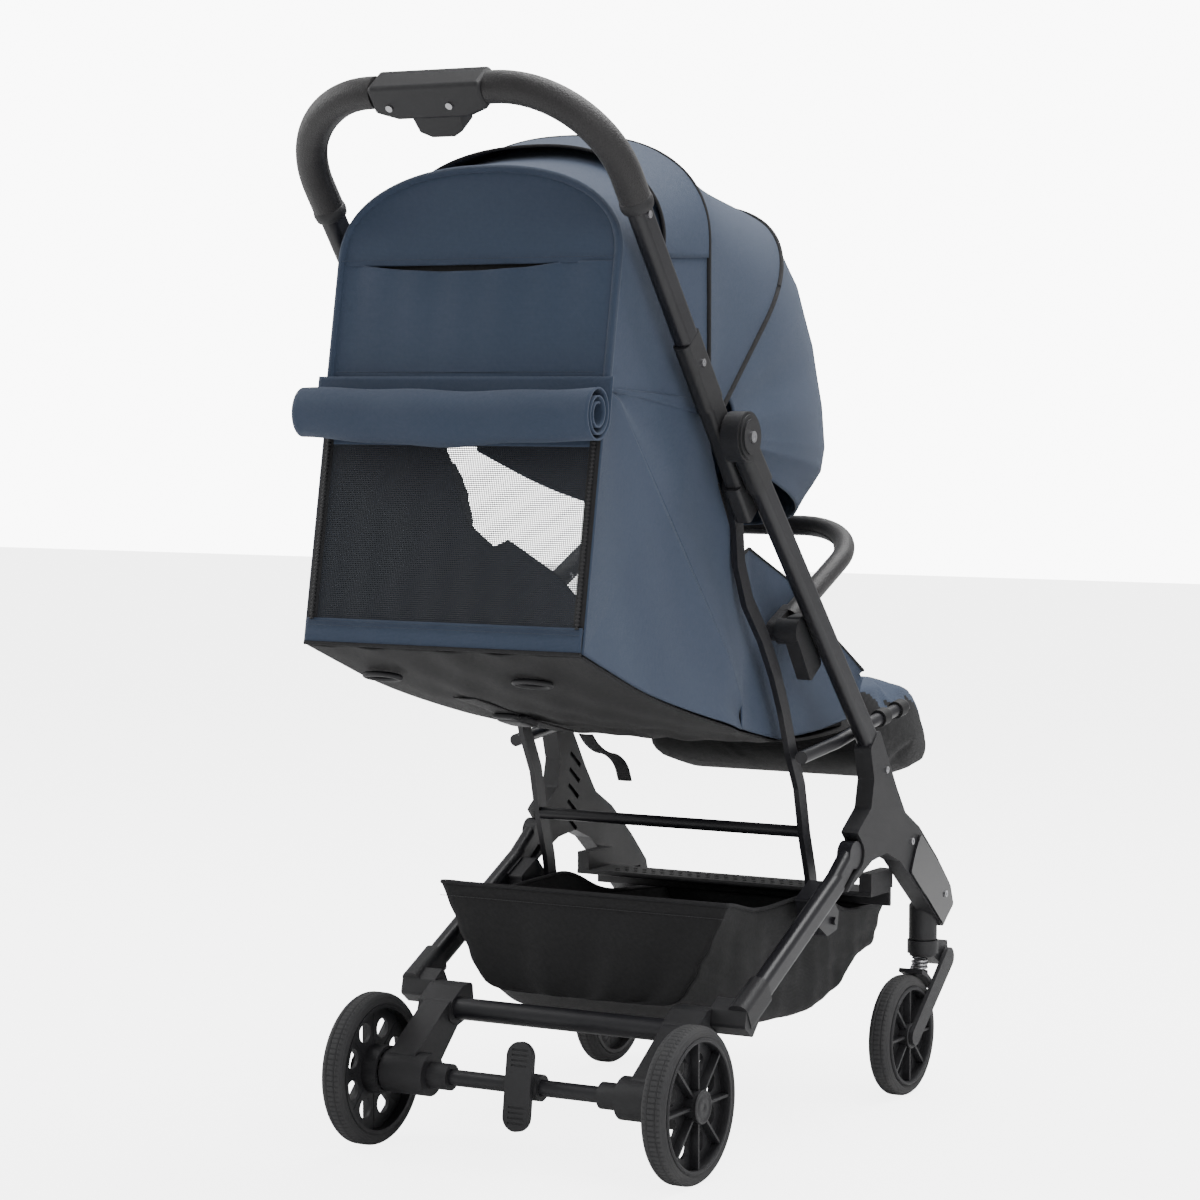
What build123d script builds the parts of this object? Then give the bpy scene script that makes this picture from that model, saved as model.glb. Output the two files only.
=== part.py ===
from build123d import *
import os
from math import atan2, cos, pi, radians, sin, sqrt, tan

# Folding pet stroller, millimetres. X runs across (left side is +X), -Y is the way it rolls,
# Z is up from the ground. Side-view points are (y, z) pairs; the model is centred in Y at the end.

# ---- driving dimensions -------------------------------------------------------------------------
REAR_WHEEL_R = 75.0
FRONT_WHEEL_R = 63.0
TYRE_WIDTH = 24.0
FRONT_TYRE_WIDTH = 22.0
TYRE_DEPTH = 11.0
WHEEL_X = 176.7                  # half track, same front and rear
WHEELBASE = 471.5
REAR_AXLE_Y = 234.5
AXLE_R = 8.0
SPINDLE_R = 6.0
FRONT_PIN_R = 4.0
RUNNING = 0.06                   # radial clearance of a turning fit
GAP = 0.5                        # clearance between neighbouring pieces

LEG_X = 185.0                    # plane of the front and rear legs
LEG_WIDTH = 25.0                 # leg tube, seen from the side
LEG_THICK = 17.0                 # leg tube, across
HANDLE_X = 166.0
HANDLE_WIDTH = 27.0
HANDLE_THICK = 17.0
HANDLE_LENGTH = 398.0            # from the fold hinge to the middle of the push bar
HANDLE_ANGLE = 52.1              # handle above the rearward horizontal
GRIP_R = 15.0
GRIP_BEND_R = 100.0
GRIP_START = 272.0               # where the covered grip begins, from the fold hinge
LINK_X = 153.5
LINK_WIDTH = 16.0
LINK_THICK = 6.0
CROSSBAR_R = 6.0
REAR_CROSS_R = 11.0
DRUM_R = 21.0
DRUM_OUTER_X = 156.0
DRUM_INNER_X = 107.0
NECK_R = 13.0
NECK_INNER_X = 84.0
BRAKE_PIN_R = 2.4
BRAKE_PIN_OFFSET = 16.0
BRAKE_TRAVEL = 5.0
NOTCHES = 12
BUMPER_X = 150.0
BUMPER_R = 10.5
BUMPER_REACH = 205.0             # bumper front, ahead of its pivots
CASTER_PIVOT_RISE = 71.0         # swing-arm pivot above and ahead of the front axle
CASTER_PIVOT_LEAD = 85.0
CASTER_TRAIL = 52.0
STEM_R = 15.0
HINGE_BOSS_R = 24.0
SEAT_RAIL_R = 6.5
SEAT_RAIL_X = 166.0

FABRIC = 2.4
CANOPY_X = 151.0                 # outer half width of the canopy
BOW_R = 3.0
CABIN_X = 149.5                  # outer half width of the cabin behind the bumper
SEAT_X = 136.0                   # outer half width of the seat between the bumper arms
BASKET_X = 149.0

# ---- fixed points in the side view --------------------------------------------------------------
HINGE = (151.0, 697.0)           # fold hinge, handle to front leg
LEG_FOOT = (-154.0, 361.0)       # front leg tube where the Y bracket takes it
REAR_PIVOT = (-91.0, 272.0)      # rear leg to Y bracket
REAR_LEG_TOP = (-60.0, 248.0)
REAR_LEG_END = (135.0, 149.0)
REAR_CROSS = (168.0, 129.0)
LINK_FOOT = (-75.0, 206.0)       # link bar to rear leg
LINK_TOP_DROP = 60.0             # link pin below the fold hinge, along the sleeve
CROSSBAR = (-48.0, 298.0)
BUMPER_PIVOT = (0.0, 503.0)
RECLINE_PIVOT = (-18.0, 402.0)
BAG_REAR_LOW = (385.0, 507.0)
BAG_REAR_HIGH = (320.0, 862.0)

REAR_HUB = (REAR_AXLE_Y, REAR_WHEEL_R)
FRONT_AXLE_Y = REAR_AXLE_Y - WHEELBASE
FRONT_HUB = (FRONT_AXLE_Y, FRONT_WHEEL_R)
SWIVEL_Y = FRONT_AXLE_Y - CASTER_TRAIL
SWING_PIVOT = (FRONT_AXLE_Y - CASTER_PIVOT_LEAD, FRONT_WHEEL_R + CASTER_PIVOT_RISE)
SIDES = (1, -1)

parts = {}


# ---- helpers ------------------------------------------------------------------------------------
def toward(a, b):
    """Unit direction from a to b in the side view."""
    length = sqrt((b[0] - a[0]) ** 2 + (b[1] - a[1]) ** 2)
    return ((b[0] - a[0]) / length, (b[1] - a[1]) / length)


def along(a, direction, distance):
    return (a[0] + direction[0] * distance, a[1] + direction[1] * distance)


def distance(a, b):
    return sqrt((b[0] - a[0]) ** 2 + (b[1] - a[1]) ** 2)


def shaft(x0, x1, centre, radius):
    """Cylinder along X between x0 and x1."""
    plane = Plane(origin=(min(x0, x1), centre[0], centre[1]), x_dir=(0, 1, 0), z_dir=(1, 0, 0))
    return extrude(plane * Circle(radius), abs(x1 - x0))


def plate(points, x0, x1, corner=0.0):
    """Side-view outline drawn through the points and made solid from x0 to x1."""
    outline = make_face(Polyline(*points, close=True))
    if corner > 0:
        outline = fillet(outline.vertices(), corner)
    plane = Plane(origin=(min(x0, x1), 0, 0), x_dir=(0, 1, 0), z_dir=(1, 0, 0))
    return extrude(plane * outline, abs(x1 - x0))


def bar(a, b, x, width, thick, corner):
    """Straight bar of rounded section between two side-view points."""
    run = toward(a, b)
    plane = Plane(origin=(x, a[0], a[1]), x_dir=(1, 0, 0), z_dir=(0, run[0], run[1]))
    return extrude(plane * RectangleRounded(thick, width, corner), distance(a, b))


def round_bar(a, b, x, radius):
    """Straight round bar between two side-view points."""
    run = toward(a, b)
    plane = Plane(origin=(x, a[0], a[1]), x_dir=(1, 0, 0), z_dir=(0, run[0], run[1]))
    return extrude(plane * Circle(radius), distance(a, b))


def rod(points, radius, bends):
    """Round tube along straight runs joined by tangent bends."""
    path = FilletPolyline(*points, radius=bends)
    start = path @ 0
    plane = Plane(origin=start, z_dir=path % 0)
    return sweep(plane * Circle(radius), path=path)


def plane_at(angle):
    """Plane through the fold hinge, X across, its Y pointing out at this angle above +Y."""
    across = radians(angle)
    return Plane(origin=(0, HINGE[0], HINGE[1]), x_dir=(1, 0, 0),
                 z_dir=(0, -sin(across), cos(across)))


def both(make):
    return Compound(children=[make(side) for side in SIDES])


HANDLE_RUN = (cos(radians(HANDLE_ANGLE)), sin(radians(HANDLE_ANGLE)))
LEG_RUN = toward(HINGE, LEG_FOOT)
REAR_RUN = toward(REAR_LEG_TOP, REAR_LEG_END)
LINK_TOP = along(HINGE, HANDLE_RUN, -LINK_TOP_DROP)
PANEL_RUN = toward(BAG_REAR_LOW, BAG_REAR_HIGH)
PANEL_PLANE = Plane(origin=(0, *BAG_REAR_LOW), x_dir=(1, 0, 0), z_dir=(0, -PANEL_RUN[1], PANEL_RUN[0]))
REAR_ARCH_FOOT = 240.0           # where the canopy's sides start, up the back panel


# ---- front frame --------------------------------------------------------------------------------
Y_OUTLINE = [(-120, 377), (-129, 345), (-122, 316), (-95, 298), (-54, 260), (-66, 236),
             (-96, 250), (-125, 262), (-160, 266), (-192, 254), (-225, 228), (-262, 200),
             (-300, 170), (-326, 190), (-318, 215), (-285, 247), (-240, 284), (-205, 303),
             (-183, 332), (-141, 396)]
ARM_OUTLINE = [(-214, 240), (-256, 207), (-296, 174), (-322, 192), (-314, 213), (-283, 242),
               (-238, 277), (-226, 262)]
FACE = LEG_X - LEG_THICK / 2
BACK = LEG_X + LEG_THICK / 2


def front_leg(side):
    top = along(HINGE, LEG_RUN, HINGE_BOSS_R + GAP)
    bottom = along(LEG_FOOT, LEG_RUN, -22)
    return bar(top, bottom, side * LEG_X, LEG_WIDTH, LEG_THICK, 7)


def y_bracket(side):
    body = plate(Y_OUTLINE, side * (FACE - 1), side * (BACK + 1), 5)
    body -= bar(along(LEG_FOOT, LEG_RUN, -60), along(LEG_FOOT, LEG_RUN, -22), side * LEG_X,
                LEG_WIDTH, LEG_THICK, 7)
    body -= plate(ARM_OUTLINE, side * (BACK - 1), side * (BACK + 2), 3)
    body -= shaft(side * (FACE - 2), side * (BACK + 2), REAR_PIVOT, 15 + GAP)
    rear_slot = bar(along(REAR_PIVOT, REAR_RUN, 0), along(REAR_PIVOT, REAR_RUN, 70), side * LEG_X,
                    2 * (15 + GAP), LEG_THICK + 6, 1)
    pivot_axis = Axis((0, *REAR_PIVOT), (1, 0, 0))
    for turn in (0, 36, 72):
        body -= rear_slot.rotate(pivot_axis, turn)
    body -= bar(REAR_LEG_TOP, REAR_LEG_END, side * LEG_X, LEG_WIDTH + 1, LEG_THICK + 6, 7)
    body -= bar(REAR_PIVOT, along(REAR_LEG_TOP, REAR_RUN, 10), side * LEG_X, LEG_WIDTH + 1, LEG_THICK + 6, 2)
    stem_hole = Pos(side * WHEEL_X, SWIVEL_Y, 150) * Cylinder(STEM_R + 0.2, 120)
    body -= stem_hole
    for rib in range(5):
        start = (-150 + rib * 2, 350 - rib * 17)
        body -= bar(start, along(start, (0.8, 0.6), -26), side * (FACE - 1), 5, 8, 2)
    return body.solids().sort_by(SortBy.VOLUME)[-1]


parts["front_legs"] = both(front_leg)
parts["y_brackets"] = both(y_bracket)


def arm_cover(side):
    return plate(ARM_OUTLINE, side * (BACK - 0.8), side * (BACK + 4), 4)


parts["arm_covers"] = both(lambda side: arm_cover(side) -
                           Pos(side * WHEEL_X, SWIVEL_Y, 150) * Cylinder(STEM_R + 0.2, 120))


def caster_stem(side):
    stem = Pos(side * WHEEL_X, SWIVEL_Y, 176) * Cylinder(STEM_R, 36)
    cap = Pos(side * WHEEL_X, SWIVEL_Y, 194) * Cone(STEM_R, STEM_R - 6, 8, align=(Align.CENTER, Align.CENTER, Align.MIN))
    socket = Pos(side * WHEEL_X, SWIVEL_Y, 176) * Cylinder(6 + RUNNING, 60)
    return stem + cap - socket


parts["caster_stems"] = both(caster_stem)


def hinge_knuckle(side):
    boss = shaft(side * FACE, side * (BACK + 1.5), HINGE, HINGE_BOSS_R)
    rim = shaft(side * (BACK + 1.5), side * (BACK + 3.5), HINGE, HINGE_BOSS_R - 3)
    neck = bar(along(HINGE, LEG_RUN, 8), along(HINGE, LEG_RUN, 62), side * LEG_X, LEG_WIDTH + 5,
               LEG_THICK + 3, 8)
    neck -= bar(along(HINGE, LEG_RUN, HINGE_BOSS_R + GAP), along(HINGE, LEG_RUN, 70), side * LEG_X,
                LEG_WIDTH, LEG_THICK, 7)
    cap = shaft(side * (BACK + 3.5), side * (BACK + 5.5), HINGE, 17)
    body = boss + rim + neck + cap
    body -= shaft(side * (FACE - 1), side * (FACE + 8), HINGE, 8 + RUNNING)
    return body


parts["hinge_knuckles"] = both(hinge_knuckle)


def foot_plate():
    """Perforated plate between the front arms, with a turned-down edge and two stays."""
    width = 2 * (FACE - 1.5)
    deck = Pos(0, -186, 220.5) * Box(width, 46, 5)
    lip = Pos(0, -210, 213) * Box(width, 5, 20)
    deck = fillet((deck + lip).edges().filter_by(Axis.X), 2)
    rows, columns = 3, 25
    for row in range(rows):
        for column in range(columns):
            x = (column - (columns - 1) / 2) * 11 + (row % 2) * 5.5
            deck -= Pos(x, -196 + row * 10, 220.5) * Cylinder(2.6, 8)
    for side in SIDES:
        deck += Pos(side * (FACE - 8.5), -190, 232) * Box(14, 52, 20)
    return deck


parts["foot_plate"] = foot_plate()


def bumper_socket(side):
    """Bracket from the front leg that carries the bumper's pivot."""
    clear = side * (BUMPER_X + BUMPER_R + 1)
    body = plate([(-44, 468), (-20, 452), (6, 490), (14, 503), (2, 518), (-22, 520)],
                 side * (FACE - GAP), clear, 4)
    body += shaft(side * (BUMPER_X + 1.5), side * (FACE - GAP), BUMPER_PIVOT, 13)
    body -= shaft(side * (BUMPER_X - 2), side * (BUMPER_X + 8), BUMPER_PIVOT, 4 + RUNNING)
    return body


parts["bumper_sockets"] = both(bumper_socket)

# ---- seat frame ---------------------------------------------------------------------------------
SEAT_RAIL_POINTS = [(-20, 376), (-100, 384), (-178, 397), (-262, 408)]


def seat_rail(side):
    return rod([(side * SEAT_RAIL_X, y, z) for y, z in SEAT_RAIL_POINTS], SEAT_RAIL_R, 60)


parts["seat_rails"] = both(seat_rail)


def strap_loop(side):
    loops = []
    run = toward(SEAT_RAIL_POINTS[-2], SEAT_RAIL_POINTS[-1])
    for start in (20, 62):
        low = along(SEAT_RAIL_POINTS[-2], run, start)
        high = along(low, run, 15)
        ring = round_bar(low, high, side * SEAT_RAIL_X, SEAT_RAIL_R + 2.6)
        ring -= round_bar(low, high, side * SEAT_RAIL_X, SEAT_RAIL_R + 0.3)
        loops.append(ring)
    return Compound(children=loops)


parts["strap_loops"] = both(strap_loop)
parts["seat_board"] = Pos(0, -116, 394.5) * Box(2 * (SEAT_X - 9), 150, 6)


# ---- screws -------------------------------------------------------------------------------------
def screw(side, centre, x, radius=3.6):
    head = shaft(side * x, side * (x + 1.6), centre, radius)
    return head - shaft(side * (x + 0.9), side * (x + 2), centre, radius * 0.45)


def frame_screws():
    heads = []
    for side in SIDES:
        for centre in ((-158, 352), (-221, 271)):
            heads.append(screw(side, centre, BACK + 1))
        heads.append(screw(side, (-300, 206), BACK + 4))
        heads.append(screw(side, HINGE, BACK + 5.5, 5.5))
    return Compound(children=heads)


parts["frame_screws"] = frame_screws()


# ---- handle -------------------------------------------------------------------------------------
def on_handle(x, r, lift=0.0):
    """Point in the handle's plane, r out from the hinge and lift off the plane."""
    return (x, HINGE[0] + HANDLE_RUN[0] * r - HANDLE_RUN[1] * lift,
            HINGE[1] + HANDLE_RUN[1] * r + HANDLE_RUN[0] * lift)


CASE_HALF = 60.0


def handle_grip(side):
    points = [on_handle(side * HANDLE_X, GRIP_START), on_handle(side * HANDLE_X, HANDLE_LENGTH),
              on_handle(side * (CASE_HALF + GAP), HANDLE_LENGTH)]
    return rod(points, GRIP_R, min(GRIP_BEND_R, HANDLE_LENGTH - GRIP_START - 6))


parts["handle_grips"] = both(handle_grip)


def case_plane():
    return Plane(origin=on_handle(0, HANDLE_LENGTH), x_dir=(1, 0, 0),
                 z_dir=(0, -HANDLE_RUN[1], HANDLE_RUN[0]))


def handle_case():
    """Two-part moulding in the middle of the push bar, with a pocket for the fold trigger."""
    outline = make_face(Polyline((-CASE_HALF, 14), (CASE_HALF, 14), (CASE_HALF, -14), (38, -22),
                                 (-38, -22), (-CASE_HALF, -14), close=True))
    outline = fillet(outline.vertices(), 5)
    body = extrude(case_plane() * outline, 15, both=True)
    body = fillet(body.edges().group_by(SortBy.LENGTH)[-1], 4)
    pocket = extrude(case_plane() * Pos(0, -20) * RectangleRounded(53, 16, 3), 11.5, both=True)
    slot = extrude(case_plane() * Pos(-14, -8) * RectangleRounded(22, 9, 2), 24, both=False)
    return body - pocket - slot


parts["handle_case"] = handle_case()
TRIGGER_TRAVEL = 5.0
trigger = make_face(Polyline((-25.5, -19), (25.5, -19), (23, -38), (12, -44), (-12, -44), (-23, -38), close=True))
parts["fold_trigger"] = extrude(case_plane() * fillet(trigger.vertices(), 2.5), 10.5, both=True)
parts["lock_slide"] = extrude(case_plane().offset(12) * Pos(-17, -8) * RectangleRounded(9, 8, 2), 9)


def joint_sleeve(side):
    """Moulded sleeve that holds the handle tube, turns on the fold hinge and reaches the link."""
    x = side * HANDLE_X
    upper = bar(along(HINGE, HANDLE_RUN, 40), along(HINGE, HANDLE_RUN, 116), x, HANDLE_WIDTH + 6,
                HANDLE_THICK, 6)
    lower = bar(along(HINGE, HANDLE_RUN, 40), along(HINGE, HANDLE_RUN, -92), x, HANDLE_WIDTH + 1,
                HANDLE_THICK, 5)
    latch = bar(along(HINGE, HANDLE_RUN, -52), along(HINGE, HANDLE_RUN, -92), x, HANDLE_WIDTH + 8,
                HANDLE_THICK, 4)
    body = upper + lower + latch
    body -= bar(along(HINGE, HANDLE_RUN, 70), along(HINGE, HANDLE_RUN, 120), x, HANDLE_WIDTH,
                HANDLE_THICK - 4, 5)
    for tooth in range(3):
        start = along(along(HINGE, HANDLE_RUN, -60 - 10 * tooth), (HANDLE_RUN[1], -HANDLE_RUN[0]), -19)
        body -= shaft(side * (HANDLE_X + 3), side * (HANDLE_X + 12), start, 3)
    pin = shaft(side * (HANDLE_X + HANDLE_THICK / 2), side * (FACE + 7), HINGE, 8)
    return body + pin


def handle_tube(side):
    """Oval tube above the sleeve, with a flattened end that fits down inside it."""
    tube = bar(along(HINGE, HANDLE_RUN, 116.3), along(HINGE, HANDLE_RUN, GRIP_START - GAP),
               side * HANDLE_X, HANDLE_WIDTH, HANDLE_THICK, 7)
    spigot = bar(along(HINGE, HANDLE_RUN, 72), along(HINGE, HANDLE_RUN, 118), side * HANDLE_X,
                 HANDLE_WIDTH - 0.8, HANDLE_THICK - 4.8, 4.6)
    return tube + spigot


parts["joint_sleeves"] = both(joint_sleeve)
parts["handle_tubes"] = both(handle_tube)


def handle_screws():
    heads = []
    for side in SIDES:
        for r in (88, 256):
            start = along(HINGE, HANDLE_RUN, r)
            offset = HANDLE_X + HANDLE_THICK / 2
            heads.append(screw(side, start, offset))
    for x in (-22, 42):
        plane = case_plane().offset(-15)
        head = extrude(plane * Pos(x, -8) * Circle(3.4), -1.4)
        heads.append(head)
    return Compound(children=heads)


parts["handle_screws"] = handle_screws()


# ---- rear legs ----------------------------------------------------------------------------------
def rear_leg(side):
    tube = bar(REAR_LEG_TOP, REAR_LEG_END, side * LEG_X, LEG_WIDTH, LEG_THICK, 7)
    x0, x1 = side * (FACE + 1), side * (BACK - 1)
    eye = shaft(x0, x1, REAR_PIVOT, 14)
    neck = bar(REAR_PIVOT, along(REAR_LEG_TOP, REAR_RUN, 10), side * LEG_X, 24, LEG_THICK - 2, 6)
    foot = plate([(-52, 250), (-20, 234), (-26, 214), (-62, 192), (-84, 196), (-88, 214), (-74, 228)],
                 side * (LINK_X + LINK_THICK / 2 + GAP + 2), side * (FACE - 1.5), 3)
    lug = plate([(-48, 250), (-20, 236), (-26, 224), (-50, 236)], side * (FACE - 2), side * (FACE + 4))
    body = tube + eye + neck + foot + lug
    link_pin = shaft(side * (LINK_X - LINK_THICK / 2 - 1), side * (FACE + 2), LINK_FOOT, 4)
    body += link_pin
    return body


parts["rear_leg_tubes"] = both(rear_leg)


def rear_foot(side):
    socket = bar(along(REAR_LEG_END, REAR_RUN, -34), along(REAR_LEG_END, REAR_RUN, 14), side * LEG_X,
                 LEG_WIDTH + 6, LEG_THICK + 4, 8)
    socket -= bar(along(REAR_LEG_END, REAR_RUN, -40), REAR_LEG_END, side * LEG_X, LEG_WIDTH, LEG_THICK, 7)
    step = plate([(140, 132), (142, 152), (160, 150), (180, 138), (186, 120), (170, 112), (148, 118)],
                 side * 118, side * (DRUM_OUTER_X + 1), 5)
    outer = plate([(124, 140), (136, 162), (152, 152), (156, 136), (140, 124)], side * DRUM_OUTER_X,
                  side * (BACK + 1), 4)
    arm = plate([(160, 146), (184, 136), (244, 96), (250, 70), (222, 58), (166, 112)],
                side * 120, side * 150, 5)
    drum = shaft(side * DRUM_INNER_X, side * DRUM_OUTER_X, REAR_HUB, DRUM_R)
    neck = shaft(side * NECK_INNER_X, side * (DRUM_INNER_X + 2), REAR_HUB, NECK_R)
    body = socket + step + outer + arm + drum + neck
    body -= shaft(side * 60, side * 170, REAR_HUB, AXLE_R)
    body -= shaft(side * 134, side * 170, (REAR_HUB[0], REAR_HUB[1] + BRAKE_PIN_OFFSET), BRAKE_PIN_R + RUNNING)
    body -= shaft(side * 100, side * 136, REAR_CROSS, REAR_CROSS_R + RUNNING)
    body -= bar(along(REAR_LEG_END, REAR_RUN, -60), REAR_LEG_END, side * LEG_X, LEG_WIDTH, LEG_THICK, 7)
    return body


parts["rear_feet"] = both(rear_foot)
parts["rear_cross_tube"] = shaft(-136, 136, REAR_CROSS, REAR_CROSS_R)
axle = shaft(-DRUM_OUTER_X, DRUM_OUTER_X, REAR_HUB, AXLE_R)
axle += shaft(-(WHEEL_X + 11), WHEEL_X + 11, REAR_HUB, SPINDLE_R)
parts["axle_tube"] = axle


def brake_pin(side):
    return shaft(side * 137, side * (DRUM_OUTER_X + 1), (REAR_HUB[0], REAR_HUB[1] + BRAKE_PIN_OFFSET), BRAKE_PIN_R)


parts["brake_pin_left"] = brake_pin(1)
parts["brake_pin_right"] = brake_pin(-1)


def brake_pedal():
    """Rocking pedal with a toe lobe above the axle and a heel lobe below it."""
    hub = shaft(-18, 18, REAR_HUB, AXLE_R + 5)
    plane = Plane(origin=(0, REAR_HUB[0] + AXLE_R + 3, REAR_HUB[1]), x_dir=(1, 0, 0), z_dir=(0, 1, 0))
    lobe = extrude(plane * SlotOverall(86, 29, rotation=90), 6)
    for rib in range(4):
        for level in (1, -1):
            groove = Pos(0, REAR_HUB[0] + AXLE_R + 9, REAR_HUB[1] + level * (20 + rib * 5)) * Box(17, 1.6, 1.8)
            lobe -= groove
    body = hub + lobe
    body -= shaft(-20, 20, REAR_HUB, AXLE_R + RUNNING)
    return body.rotate(Axis((0, *REAR_HUB), (1, 0, 0)), 8)


parts["brake_pedal"] = brake_pedal()


# ---- wheels -------------------------------------------------------------------------------------
def wheel(side, hub_point, radius, width, bore, spokes, drum_ring):
    """Rim and tyre: barrel, hub, web windows with thin ribs outside, and a grooved tyre."""
    x = side * WHEEL_X
    half = width / 2
    rim_r = radius - TYRE_DEPTH
    rim = shaft(x - half, x + half, hub_point, rim_r)
    rim -= shaft(x - half - 1, x + half + 1, hub_point, rim_r - 4)
    hub = shaft(x - half, x + half, hub_point, bore + 9)
    web = shaft(x - 2, x + 2, hub_point, rim_r - 2)
    for spoke in range(spokes):
        angle = 360 / spokes * (spoke + 0.5)
        middle = (bore + 9 + rim_r) / 2
        window = Pos(x, hub_point[0], hub_point[1]) * Rot(angle, 0, 0) * Pos(0, middle + 1, 0)
        size = (middle + 2) * 2 * sin(radians(180 / spokes)) * 0.62
        web -= window * Rot(0, 90, 0) * Cylinder(size / 2, 10)
    body = rim + hub + web
    rib_length = rim_r - bore - 7
    for spoke in range(spokes):
        angle = 360 / spokes * spoke
        rib = Pos(x, hub_point[0], hub_point[1]) * Rot(angle, 0, 0) * Pos(side * half * 0.35, bore + 6 + rib_length / 2, 0)
        body += rib * Box(half * 1.1, rib_length, 2.6)
    if drum_ring:
        ring_x0 = side * (DRUM_OUTER_X + 2)
        ring = shaft(ring_x0, x, hub_point, BRAKE_PIN_OFFSET + 8)
        ring -= shaft(side * (DRUM_OUTER_X - 1), side * (WHEEL_X - half - 0.5), hub_point, bore + 3)
        for notch in range(NOTCHES):
            place = Pos(ring_x0, hub_point[0], hub_point[1]) * Rot(360 / NOTCHES * notch, 0, 0)
            ring -= place * Pos(0, 0, BRAKE_PIN_OFFSET) * Box(13, 2 * BRAKE_PIN_R + 1.6, 9)
        body += ring
    body -= shaft(x - width, x + width, hub_point, bore + RUNNING)
    if drum_ring:
        body += shaft(side * (WHEEL_X + 11 + GAP), side * (WHEEL_X + 14), hub_point, bore + 9)
    section = [(rim_r, -half), (radius - 3.5, -half), (radius, -half + 4.5), (radius, half - 4.5),
               (radius - 3.5, half), (rim_r, half)]
    profile = make_face(Polyline(*[(r, u) for r, u in section], close=True))
    plane = Plane(origin=(x, hub_point[0], hub_point[1]), x_dir=(0, 1, 0), z_dir=(0, 0, -1))
    tyre = revolve(plane * profile, Axis((x, hub_point[0], hub_point[1]), (1, 0, 0)))
    for groove in (-4.2, 4.2):
        cutter = shaft(x + groove - 0.8, x + groove + 0.8, hub_point, radius + 1)
        cutter -= shaft(x + groove - 1, x + groove + 1, hub_point, radius - 1.2)
        tyre -= cutter
    return body, tyre


for name, side in (("left", 1), ("right", -1)):
    rim, tyre = wheel(side, REAR_HUB, REAR_WHEEL_R, TYRE_WIDTH, SPINDLE_R, 8, True)
    parts["rear_rim_" + name] = rim
    parts["rear_tyre_" + name] = tyre
    rim, tyre = wheel(side, FRONT_HUB, FRONT_WHEEL_R, FRONT_TYRE_WIDTH, FRONT_PIN_R, 8, False)
    parts["front_rim_" + name] = rim
    parts["front_tyre_" + name] = tyre


# ---- casters ------------------------------------------------------------------------------------
ARM_IN = FRONT_TYRE_WIDTH / 2 + 1.5
ARM_OUT = ARM_IN + 4.5
SPRING_R = 9.0
SPRING_WIRE = 1.4
SPRING_TOP = 139.5
SPRING_LOW = 125.0
SPRING_LEAD = 8.0                # spring behind the swivel


def caster_fork(side):
    """Swivel head under the stem: pin, collar and the clevis block for the swing arm."""
    x = side * WHEEL_X
    pin = Pos(x, SWIVEL_Y, 166) * Cylinder(6, 40)
    collar = Pos(x, SWIVEL_Y, 150) * Cylinder(STEM_R + 1.5, 14)
    head = Pos(x, SWIVEL_Y, 143) * Cylinder(STEM_R - 1, 6)
    lug = plate([(SWING_PIVOT[0] - 9, SWING_PIVOT[1] - 6), (SWING_PIVOT[0] + 8, SWING_PIVOT[1] - 7),
                 (SWIVEL_Y + 4, 143), (SWIVEL_Y + 4, 152), (SWING_PIVOT[0] - 6, 152)],
                x - ARM_IN + GAP + 1, x + ARM_IN - GAP - 1, 2)
    body = pin + collar + head + lug
    body -= shaft(x - 20, x + 20, SWING_PIVOT, 4 + RUNNING)
    return body


def swing_arm(side):
    x = side * WHEEL_X
    body = shaft(x - ARM_OUT, x + ARM_OUT, SWING_PIVOT, 4)
    body += shaft(x - ARM_OUT, x + ARM_OUT, FRONT_HUB, FRONT_PIN_R)
    for level in (1, -1):
        inner, outer = x + level * ARM_IN, x + level * ARM_OUT
        arm = plate_between(SWING_PIVOT, FRONT_HUB, 11, 9.5, inner, outer)
        body += arm
    ring = shaft(x - ARM_IN - 1, x + ARM_IN + 1, FRONT_HUB, FRONT_WHEEL_R + 7.5)
    ring -= shaft(x - ARM_IN - 2, x + ARM_IN + 2, FRONT_HUB, FRONT_WHEEL_R + 3)
    wedge = plate([FRONT_HUB, along(FRONT_HUB, (cos(radians(108)), sin(radians(108))), 90),
                   along(FRONT_HUB, (cos(radians(140)), sin(radians(140))), 110)],
                  x - ARM_IN - 1, x + ARM_IN + 1)
    fender = ring & wedge
    seat = Pos(x, SWIVEL_Y + SPRING_LEAD, SPRING_LOW - 4.4) * Cylinder(SPRING_R, 8)
    seat -= shaft(x - 20, x + 20, FRONT_HUB, FRONT_WHEEL_R + 3)
    return body + fender + seat


def plate_between(a, b, radius_a, radius_b, x0, x1):
    """Flat arm with round ends about two side-view points."""
    run = toward(a, b)
    normal = (-run[1], run[0])
    quad = [along(a, normal, radius_a), along(b, normal, radius_b), along(b, normal, -radius_b),
            along(a, normal, -radius_a)]
    return plate(quad, x0, x1) + shaft(x0, x1, a, radius_a) + shaft(x0, x1, b, radius_b)


def spring(side):
    turns = 3
    height = SPRING_TOP - SPRING_LOW - SPRING_WIRE * 2
    helix = Helix(pitch=height / turns, height=height, radius=SPRING_R - SPRING_WIRE)
    wire = sweep(Plane(origin=helix @ 0, z_dir=helix % 0) * Circle(SPRING_WIRE), path=helix)
    return Pos(side * WHEEL_X, SWIVEL_Y + SPRING_LEAD, SPRING_LOW + SPRING_WIRE) * wire


for name, side in (("left", 1), ("right", -1)):
    parts["caster_fork_" + name] = caster_fork(side)
    parts["swing_arm_" + name] = swing_arm(side)
    parts["spring_" + name] = spring(side)

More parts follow.
